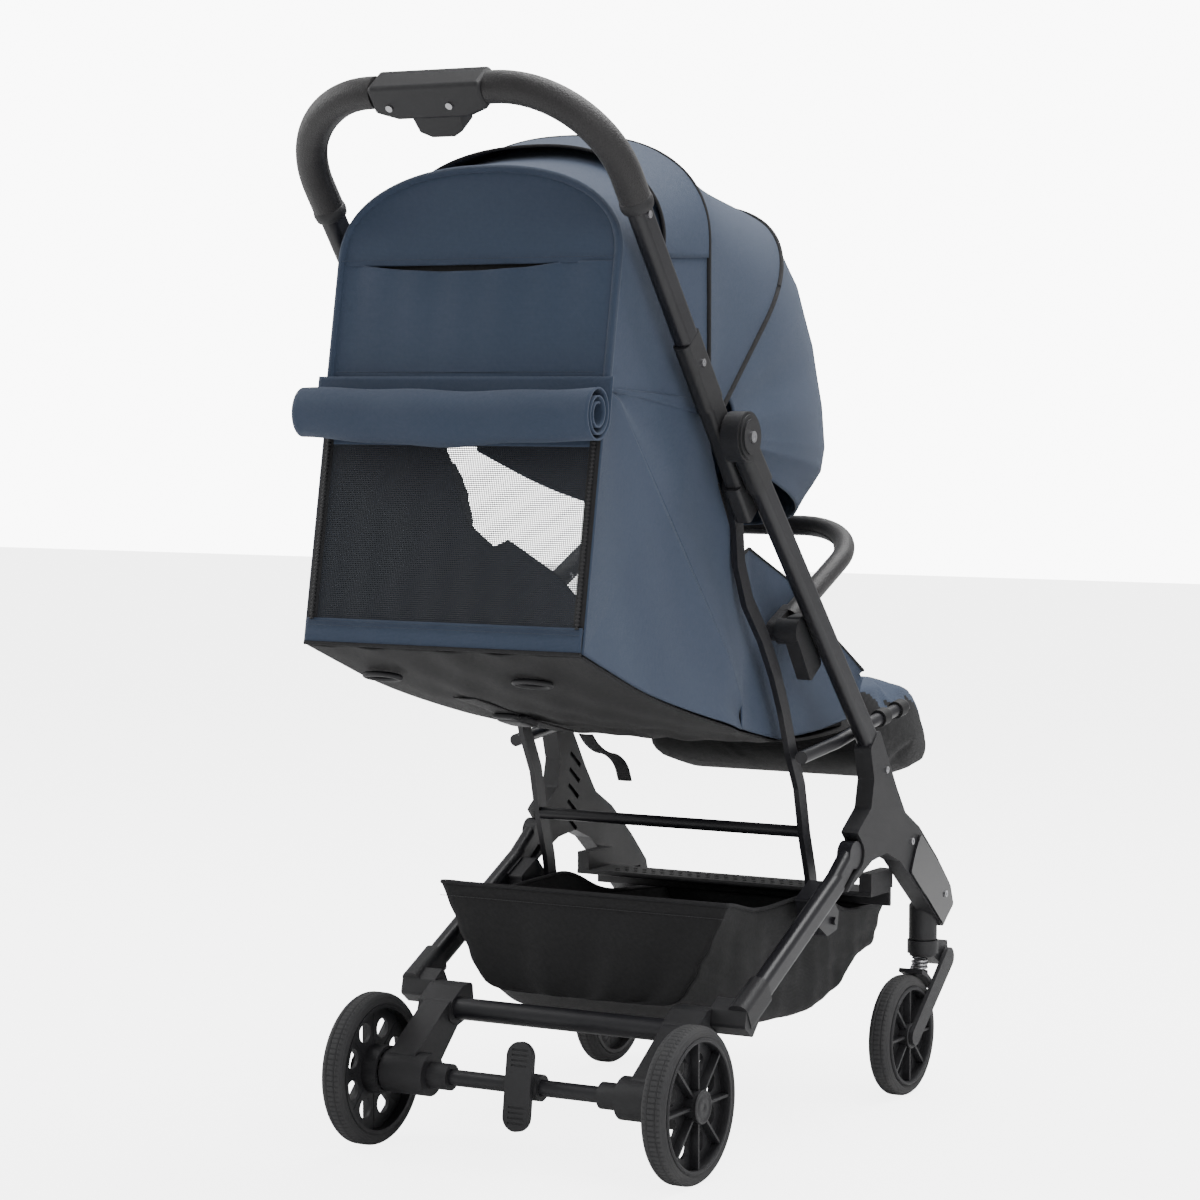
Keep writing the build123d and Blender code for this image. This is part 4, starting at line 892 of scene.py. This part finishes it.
def floor_cloth(line, half_at, rows, sag):
    """Side-view line carried across: it drops by sag x (1 - (x / half)^2) and creases lengthwise a little."""
    line = even(line, rows)
    share = np.linspace(1, -1, 81)[None, :]
    half = half_at(line[:, 0])[:, None]
    x = half * share
    y = line[:, 0][:, None] + 0 * x + CENTRED
    drop = sag * (1 - share ** 2) * np.clip(np.sin(pi * np.linspace(0, 1, rows)), 0, 1)[:, None] ** 0.6
    crease = 0.0016 * np.sin(share * 17 + y * 22) * np.sin(y * 47 + share * 3) * (1 - share ** 4)
    return np.stack([x, y, line[:, 1][:, None] - drop + crease], -1)


def cabin_half(y):
    step = np.clip((y - 0.028) / 0.085, 0, 1)
    return 0.136 + (0.1482 - 0.136) * step * step * (3 - 2 * step)


floor_grid = floor_cloth(FLOOR, cabin_half, 90, 0.007)
cabin_floor = thicken(surface("cabin_floor", floor_grid), 0.002, 0)
lay_cloth(cabin_floor, black_cloth, floor_grid)
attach(cabin_floor, "frame")
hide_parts("bag_floor")
fold_flat(cabin_floor)
seat_floor_grid = floor_cloth(SEAT_FLOOR, cabin_half, 70, 0.003)
seat_floor = thicken(surface("seat_floor", seat_floor_grid), 0.002, 0)
lay_cloth(seat_floor, black_cloth, seat_floor_grid)
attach(seat_floor, "frame")
for loop_name, loop_x, loop_y, loop_z in (("left", 0.105, 0.322, 0.4765), ("right", -0.06, 0.322, 0.4765)):
    loop_turn = np.linspace(0, 2 * pi, 70)
    slope = np.array([0.93, 0.367])
    ring_path = np.stack([loop_x + 0.019 * np.cos(loop_turn),
                          loop_y + CENTRED + 0.0085 * np.sin(loop_turn) * slope[0],
                          loop_z + 0.0085 * np.sin(loop_turn) * slope[1] - 0.0055 + 0 * loop_turn], -1)
    ring_grid = tube(ring_path[:-1], 0.0028, 8)
    oval = outward(surface("underside_loop_" + loop_name, ring_grid, closed_u=True, closed_v=True))
    give(oval, moulded, "frame")
    fold_flat(oval)

# Recline strap: ribbed webbing from the underside of the backrest to the seat, through a moulded buckle.
ribbed, ribbed_tree, ribbed_shader = start_material("ribbed_webbing", Roughness=0.65)
ribbed_place = node_in(ribbed_tree, "TexCoord")
ribbed_group = use_group(ribbed_tree, weave, ribbed_place.outputs["UV"], Pitch=0.0022, Base=(0.01, 0.01, 0.011, 1),
                         Faded=(0.02, 0.02, 0.022, 1))
join(ribbed_tree, ribbed_group.outputs["Color"], ribbed_shader.inputs["Base Color"])
bump_into(ribbed_tree, ribbed_shader, ribbed_group.outputs["Height"], 0.0006)
paint(ribbed, "strap_loops")


def webbing(name, line, x, width, body):
    """Flat strap along a side-view line, width across, with both edges a little raised."""
    line = even(soften(line, 3), 60)
    share = np.linspace(-1, 1, 9)[None, :]
    grid = np.stack([x + width / 2 * share + 0 * line[:, :1], line[:, :1] + CENTRED + 0 * share,
                     line[:, 1:] - 0.0004 * (1 - share ** 2)], -1)
    strap = thicken(surface(name, grid), 0.0014, 0)
    return give(strap, ribbed, body)


STRAP_X = 0.06
strap = webbing("recline_webbing", [(0.25, 0.447), (0.2, 0.434), (0.15, 0.4195), (0.1, 0.4075), (0.06, 0.3985)],
                STRAP_X, 0.024, "frame")
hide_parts("recline_strap")
fold_flat(strap)
webbing("strap_tail", [(0.062, 0.3965), (0.05, 0.385), (0.03, 0.375), (0.01, 0.372), (-0.01, 0.36),
                       (-0.018, 0.342)], 0.034, 0.016, "frame")


def rounded_block(name, centre, size, tilt, power=4.0, rows=24, columns=36):
    """Superellipsoid block |x/a|^p + |y/b|^p + |z/c|^p = 1, turned about X by tilt degrees."""
    lat = np.linspace(-pi / 2, pi / 2, rows)[:, None]
    lon = np.linspace(0, 2 * pi, columns, endpoint=False)[None, :]

    def bent(value):
        return np.sign(value) * np.abs(value) ** (2 / power)

    x = size[0] / 2 * bent(np.cos(lat)) * bent(np.cos(lon))
    y = size[1] / 2 * bent(np.cos(lat)) * bent(np.sin(lon))
    z = size[2] / 2 * bent(np.sin(lat)) + 0 * lon
    c, s = cos(radians(tilt)), sin(radians(tilt))
    grid = np.stack([centre[0] + x, centre[1] + c * y - s * z, centre[2] + s * y + c * z], -1)
    return outward(surface(name, grid, closed_v=True))


STRAP_TILT = 14.5
for part, part_y, part_z, part_size, power in (("body", 0.15, 0.4165, (0.033, 0.038, 0.0085), 5.0),
                                               ("tongue", 0.171, 0.422, (0.027, 0.016, 0.0055), 4.0)):
    part_centre = (STRAP_X, part_y + CENTRED, part_z)
    buckle = rounded_block("strap_buckle_" + part, part_centre, part_size, STRAP_TILT, power)
    give(buckle, moulded, "frame")
    fold_flat(buckle)

# Storage basket: black cloth hung from the frame, deepest in the middle, with a bound rim.
# It is cut from a U-shaped body, a nearly flat back and a low front, and creases where it hangs slack.
BASKET_STATIONS = np.array([(0.130, 0.146, 0.250, 0.112, 0.164), (0.040, 0.106, 0.229, 0.136, 0.149),
                            (-0.100, 0.098, 0.232, 0.138, 0.149), (-0.150, 0.102, 0.206, 0.136, 0.146),
                            (-0.170, 0.106, 0.200, 0.134, 0.144), (-0.235, 0.132, 0.196, 0.128, 0.140),
                            (-0.284, 0.142, 0.192, 0.124, 0.134)])
station_t = np.linspace(0, 1, 90)
basket_rows = np.stack([np.interp(station_t * 0.414, (0.13 - BASKET_STATIONS[:, 0]), BASKET_STATIONS[:, k])
                        for k in range(5)], -1)
basket_rows[:, 1:3] = np.stack([np.convolve(np.pad(basket_rows[:, k], 6, "edge"), np.ones(13) / 13, "valid")
                                for k in (1, 2)], -1)
basket_grid = []
for y, low, high, narrow, wide in basket_rows:
    section = soften([(wide, high), (narrow + (wide - narrow) * 0.35, low + 0.035), (narrow - 0.002, low + 0.002),
                      (narrow * 0.55, low), (-narrow * 0.55, low), (-narrow + 0.002, low + 0.002),
                      (-narrow - (wide - narrow) * 0.35, low + 0.035), (-wide, high)], 2)
    section = even(section, 121)
    basket_grid.append(np.stack([section[:, 0], np.full(121, y + CENTRED), section[:, 1]], -1))
basket_grid = np.array(basket_grid)
basket_u = np.linspace(0, 1, 90)[:, None]
basket_v = np.linspace(0, 1, 121)[None, :]
side_share = np.exp(-((np.abs(basket_v - 0.5) - 0.36) / 0.1) ** 2)
slack = np.sin(basket_u * 31 + 2 * np.sin(basket_v * 12)) + 0.6 * np.sin(basket_u * 67 + basket_v * 20 + 1)
slack = slack * 0.0013 * side_share * np.clip(np.sin(pi * basket_u), 0, 1) ** 0.4
slack = slack + 0.0012 * side_share * np.sin(basket_v * 90 + basket_u * 9)
pull = np.array([0.0, 0, 0.2]) - basket_grid * np.array([1, 0, 1])
pull /= np.linalg.norm(pull, axis=2, keepdims=True)
basket_grid = basket_grid + pull * (0.0022 + slack)[..., None]
basket = thicken(surface("basket_body", basket_grid), 0.0016, 0)
lay_cloth(basket, black_cloth, basket_grid)
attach(basket, "frame")
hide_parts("basket")


def basket_end(name, section, bulge):
    """End wall: rows shrink from the outline up to its straight top edge, with a small bulge and creases."""
    count = section.shape[0]
    half = count // 2
    left, right = section[:half + 1], section[::-1][:half + 1]
    t = np.linspace(0, 1, 60)[None, :]
    grid = left[:, None, :] * (1 - t[..., None]) + right[:, None, :] * t[..., None]
    rise = np.linspace(0, 1, half + 1)[:, None]
    crease = 0.0016 * np.sin(t * 19 + rise * 3) * np.sin(rise * pi) + 0.001 * np.sin(t * 41 + 2 * rise) * rise
    grid[..., 1] += bulge * (np.sin(pi * t) * np.sin(pi * rise)) + crease * np.sign(bulge)
    sheet_obj = thicken(surface(name, grid), 0.0016, 0)
    lay_cloth(sheet_obj, black_cloth, grid)
    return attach(sheet_obj, "frame")


basket_end("basket_back", basket_grid[0], 0.004)
basket_end("basket_front", basket_grid[-1], -0.003)
rim_left, rim_right = basket_grid[:, 0], basket_grid[:, -1]
rim_path = np.vstack([rim_left[::-1], np.linspace(rim_left[0], rim_right[0], 40)[1:-1], rim_right,
                      np.linspace(rim_right[-1], rim_left[-1], 40)[1:-1]])
rim_path = even(rim_path, 420)
basket_rim = outward(surface("basket_rim", tube(rim_path, 0.0023, 8), closed_u=False, closed_v=True))
give(basket_rim, piping_cloth, "frame")
stitch_row("basket_back_stitching", np.linspace(rim_left[0], rim_right[0], 60) + [0, 0.0032, -0.013],
           thread_dark, "frame")

# Padded pieces: seat pad, backrest mattress and leg rest, covered in cloth over foam.
# Each starts a little small and swells under cloth pressure; the seat pad and the mattress then get their sewn
# channels.


SWELL_FRAMES = 20


def swell(obj, voxel, pressure, cap):
    """Remeshes a pad evenly, blows it up with cloth pressure, and caps how far any point moves."""
    again = obj.modifiers.new("even_mesh", "REMESH")
    again.mode = "VOXEL"
    again.voxel_size = voxel
    settle(obj)
    rest = np.empty(len(obj.data.vertices) * 3, np.float32)
    obj.data.vertices.foreach_get("co", rest)
    scene = bpy.context.scene
    cloth = obj.modifiers.new("stuffing", "CLOTH")
    cloth.settings.use_pressure = True
    cloth.settings.uniform_pressure_force = pressure
    cloth.settings.effector_weights.gravity = 0.0
    cloth.point_cache.frame_start = 1
    cloth.point_cache.frame_end = SWELL_FRAMES
    for step in range(1, SWELL_FRAMES + 1):
        scene.frame_set(step)
    settle(obj)
    scene.frame_set(1)
    moved = np.empty_like(rest)
    obj.data.vertices.foreach_get("co", moved)
    rest, moved = rest.reshape(-1, 3), moved.reshape(-1, 3)
    shift = moved - rest
    length = np.linalg.norm(shift, axis=1, keepdims=True)
    shift *= np.minimum(1.0, cap / np.maximum(length, 1e-9))
    obj.data.vertices.foreach_set("co", (rest + shift).reshape(-1).astype(np.float32))
    return obj


def channels(obj, seam, depth, width, up_axis):
    """Presses sewn channels into the pad: depth x exp(-(distance / width)^2) along up_axis on its upper side."""
    count = len(obj.data.vertices)
    co = np.empty(count * 3, np.float32)
    obj.data.vertices.foreach_get("co", co)
    normals = np.empty(count * 3, np.float32)
    obj.data.vertices.foreach_get("normal", normals)
    co, normals = co.reshape(-1, 3), normals.reshape(-1, 3)
    facing = np.clip(normals @ np.asarray(up_axis, np.float32), 0, 1)
    press = depth * np.exp(-(seam(co) / width) ** 2) * facing
    co -= press[:, None] * np.asarray(up_axis, np.float32)[None]
    obj.data.vertices.foreach_set("co", co.reshape(-1))
    return obj


def two_tone(obj, top_mat, low_mat, up_axis, limit):
    """Upper faces in one cloth and the rest in another, split by how far a face leans from up_axis."""
    mesh = obj.data
    mesh.materials.clear()
    mesh.materials.append(top_mat)
    mesh.materials.append(low_mat)
    normals = np.empty(len(mesh.polygons) * 3, np.float32)
    mesh.polygons.foreach_get("normal", normals)
    lean = normals.reshape(-1, 3) @ np.asarray(up_axis, np.float32)
    mesh.polygons.foreach_set("material_index", (lean < limit).astype(np.int32))
    mesh.polygons.foreach_set("use_smooth", np.ones(len(mesh.polygons), bool))
    return obj


def finish_pad(obj, top_mat, low_mat, up_axis, body, node, limit=0.15):
    smooth = obj.modifiers.new("finer", "SUBSURF")
    smooth.levels = 1
    smooth.render_levels = 1
    settle(obj)
    two_tone(obj, top_mat, low_mat, up_axis, limit)
    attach(obj, body)
    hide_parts(node)
    return obj


pad_cloth = woven("pad_cloth", (0.022, 0.026, 0.036), (0.03, 0.035, 0.046), 0.0016, 0.0003, "Object",
                  Sheen_Weight=0.2, Sheen_Roughness=0.5)
pad_navy = woven("pad_navy", NAVY, NAVY_FADED, 0.0012, 0.0002, "Object",
                 Sheen_Weight=0.08, Sheen_Roughness=0.5)
pad_black = woven("pad_black", BLACK, BLACK_FADED, 0.0014, 0.0002, "Object",
                  Sheen_Weight=0.02, Sheen_Roughness=0.5)

seat_pad = rounded_block("seat_cushion", (0, -0.122 + CENTRED, 0.4105), (0.244, 0.18, 0.0185), 0, 6.0, 40, 80)
swell(seat_pad, 0.005, 4.0, 0.005)
channels(seat_pad, lambda co: np.abs((co[:, 1] + 0.122 - CENTRED + 0.03) % 0.06 - 0.03), 0.003, 0.004, (0, 0, 1))
finish_pad(seat_pad, pad_cloth, pad_cloth, (0, 0, 1), "frame", "seat_pad")

backrest_run = np.array([0.39, 0.112]) / np.hypot(0.39, 0.112)
backrest_tilt = np.degrees(np.arctan2(0.112, 0.39))
backrest_centre = np.array([-0.018, 0.402 + 0.009]) + backrest_run * 0.1965
mattress = rounded_block("backrest_mattress", (0, backrest_centre[0] + CENTRED, backrest_centre[1]),
                         (0.236, 0.368, 0.0145), backrest_tilt, 7.0, 40, 90)
swell(mattress, 0.005, 4.0, 0.005)
channels(mattress, lambda co: np.abs((co[:, 1] + 0.04) % 0.08 - 0.04), 0.003, 0.004,
         (0, -backrest_run[1], backrest_run[0]))
finish_pad(mattress, pad_cloth, pad_cloth, (0, -backrest_run[1], backrest_run[0]), "backrest", "backrest_pad")
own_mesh(mattress)

rest_outline = soften([(-0.226, 0.431), (-0.328, 0.425), (-0.37, 0.416), (-0.412, 0.366), (-0.424, 0.34),
                       (-0.396, 0.329), (-0.33, 0.327), (-0.226, 0.344), (-0.226, 0.431)], 3)
rest_outline = even(rest_outline, 97)[:-1]
rest_middle = rest_outline.mean(0)
rest_share = np.linspace(-1, 1, 61)
rest_gather = (1 - np.abs(rest_share) ** 14) ** (1 / 5)
rest_rows = rest_middle[None, None] + (rest_outline[None] - rest_middle) * (0.9 + 0.1 * rest_gather)[:, None, None]
rest_rows[[0, -1]] = rest_middle
rest_grid = np.concatenate([np.broadcast_to((rest_share * 0.1325)[:, None, None], (61, 96, 1)), rest_rows], 2)
rest_grid = rest_grid + np.array([0, CENTRED, 0])
leg_cushion = outward(surface("leg_rest_cushion", rest_grid, closed_v=True))
swell(leg_cushion, 0.006, 4.0, 0.007)
finish_pad(leg_cushion, pad_navy, pad_black, (0, -0.35, 0.94), "frame", "leg_rest", 0.3)

# Bumper bar fittings: a seam inside the cover, two oval slots in the moulded end and a rivet on each side.
BUMPER_PIVOT = np.array([0.0, 0.503])
bumper_tip = np.array([-0.205, 0.598])
bumper_run = (bumper_tip - BUMPER_PIVOT) / np.linalg.norm(bumper_tip - BUMPER_PIVOT)
bumper_reach = np.linalg.norm(bumper_tip - BUMPER_PIVOT)
bumper_line = bend((0.15, 0.036), (0.15, bumper_reach), (0.0, bumper_reach), 0.078, 200)
bumper_line = np.vstack([bumper_line, bumper_line[-2::-1] * [-1, 1]])


def in_bumper(x, out, lift=0.0):
    y = BUMPER_PIVOT[0] + CENTRED + bumper_run[0] * out + bumper_run[1] * lift
    z = BUMPER_PIVOT[1] + bumper_run[1] * out + abs(bumper_run[0]) * lift
    return np.stack([x, y + 0 * x, z + 0 * x], -1)


bumper_in = np.gradient(bumper_line, axis=0)
bumper_in = np.stack([-bumper_in[:, 1], bumper_in[:, 0]], -1) / np.linalg.norm(bumper_in, axis=1, keepdims=True)
seam_line = even(bumper_line + bumper_in * 0.0104, 480)
bumper_seam = round_tube("bumper_seam", in_bumper(seam_line[:, 0], seam_line[:, 1]),
                         0.0006 + 0.0004 * np.abs(np.sin(np.arange(480) * pi / 5)), 6)
give(bumper_seam, thread_dark, "bumper")
for side_name, side_sign in SIDES:
    for index, out in enumerate((0.052, 0.078)):
        spot = in_bumper(np.array([side_sign * 0.15]), np.array([out]), np.array([0.0]))[0]
        slot_plate = rounded_block("bumper_slot_%s_%d" % (side_name, index), spot + [-side_sign * 0.0098, 0, 0],
                                   (0.0028, 0.017, 0.007), -24.9, 3.0, 14, 22)
        give(slot_plate, polished, "bumper")
    rivet = rounded_block("bumper_rivet_" + side_name, in_bumper(np.array([side_sign * 0.15]), np.array([0.1]))[0]
                          + [-side_sign * 0.0102, 0, 0], (0.0026, 0.006, 0.006), 0, 2.2, 12, 18)
    give(rivet, zinc, "bumper")

# Studio: pale floor and backdrop, three soft lights, and the camera behind and to the right of the stroller.
floor_mesh = bpy.data.meshes.new("studio_floor")
floor_mesh.from_pydata([(-9, -9, 0), (9, -9, 0), (9, 9, 0), (-9, 9, 0)], [], [(0, 1, 2, 3)])
studio_floor = bpy.data.objects.new("studio_floor", floor_mesh)
bpy.context.scene.collection.objects.link(studio_floor)
floor_mat, floor_tree, floor_shader = start_material("studio_paper", Roughness=0.9)
floor_shader.inputs["Base Color"].default_value = (0.88, 0.88, 0.88, 1)
floor_shader.inputs["Emission Color"].default_value = (1, 1, 1, 1)
floor_rays = node_in(floor_tree, "LightPath")
PAPER_GLOW, BACKDROP_GLOW, AMBIENT = 4.5, 9.0, 0.5
join(floor_tree, math_in(floor_tree, "MULTIPLY", floor_rays.outputs["Is Camera Ray"], PAPER_GLOW),
     floor_shader.inputs["Emission Strength"])
floor_mesh.materials.append(floor_mat)
world = bpy.data.worlds.new("studio_light")
bpy.context.scene.world = world
world.use_nodes = True
sky = world.node_tree.nodes["Background"]
sky.inputs["Color"].default_value = (1.0, 1.0, 1.0, 1)
sky_rays = world.node_tree.nodes.new("ShaderNodeLightPath")
backdrop = math_in(world.node_tree, "MULTIPLY", sky_rays.outputs["Is Camera Ray"], BACKDROP_GLOW)
join(world.node_tree, math_in(world.node_tree, "ADD", backdrop, AMBIENT), sky.inputs["Strength"])


def soft_light(name, place, aim, size, power):
    light = bpy.data.lights.new(name, "AREA")
    light.shape = "RECTANGLE"
    light.size, light.size_y = size
    light.energy = power
    lamp = bpy.data.objects.new(name, light)
    bpy.context.scene.collection.objects.link(lamp)
    lamp.location = place
    direction = np.asarray(aim, float) - np.asarray(place, float)
    lamp.rotation_euler = (pi / 2 - np.arctan2(-direction[2], np.hypot(direction[0], direction[1])), 0,
                           np.arctan2(direction[1], direction[0]) - pi / 2)
    return lamp


MID_HEIGHT = (0, 0, 0.6)
soft_light("key_window", (-2.6, 1.6, 2.4), MID_HEIGHT, (1.8, 1.8), 40)
soft_light("rim_window", (2.8, 0.6, 1.8), MID_HEIGHT, (1.2, 2.2), 45)
soft_light("top_sheet", (-0.4, -1.0, 3.0), (0, 0.0, 0.8), (2.4, 2.4), 110)

view = bpy.data.cameras.new("view")
view.lens = 103.36
view.sensor_width = 36.0
camera = bpy.data.objects.new("view", view)
bpy.context.scene.collection.objects.link(camera)
camera.location = (-1.6846, 3.0317 + CENTRED, 0.7514)
camera.rotation_euler = (radians(86.326), 0, radians(209.82))
bpy.context.scene.camera = camera
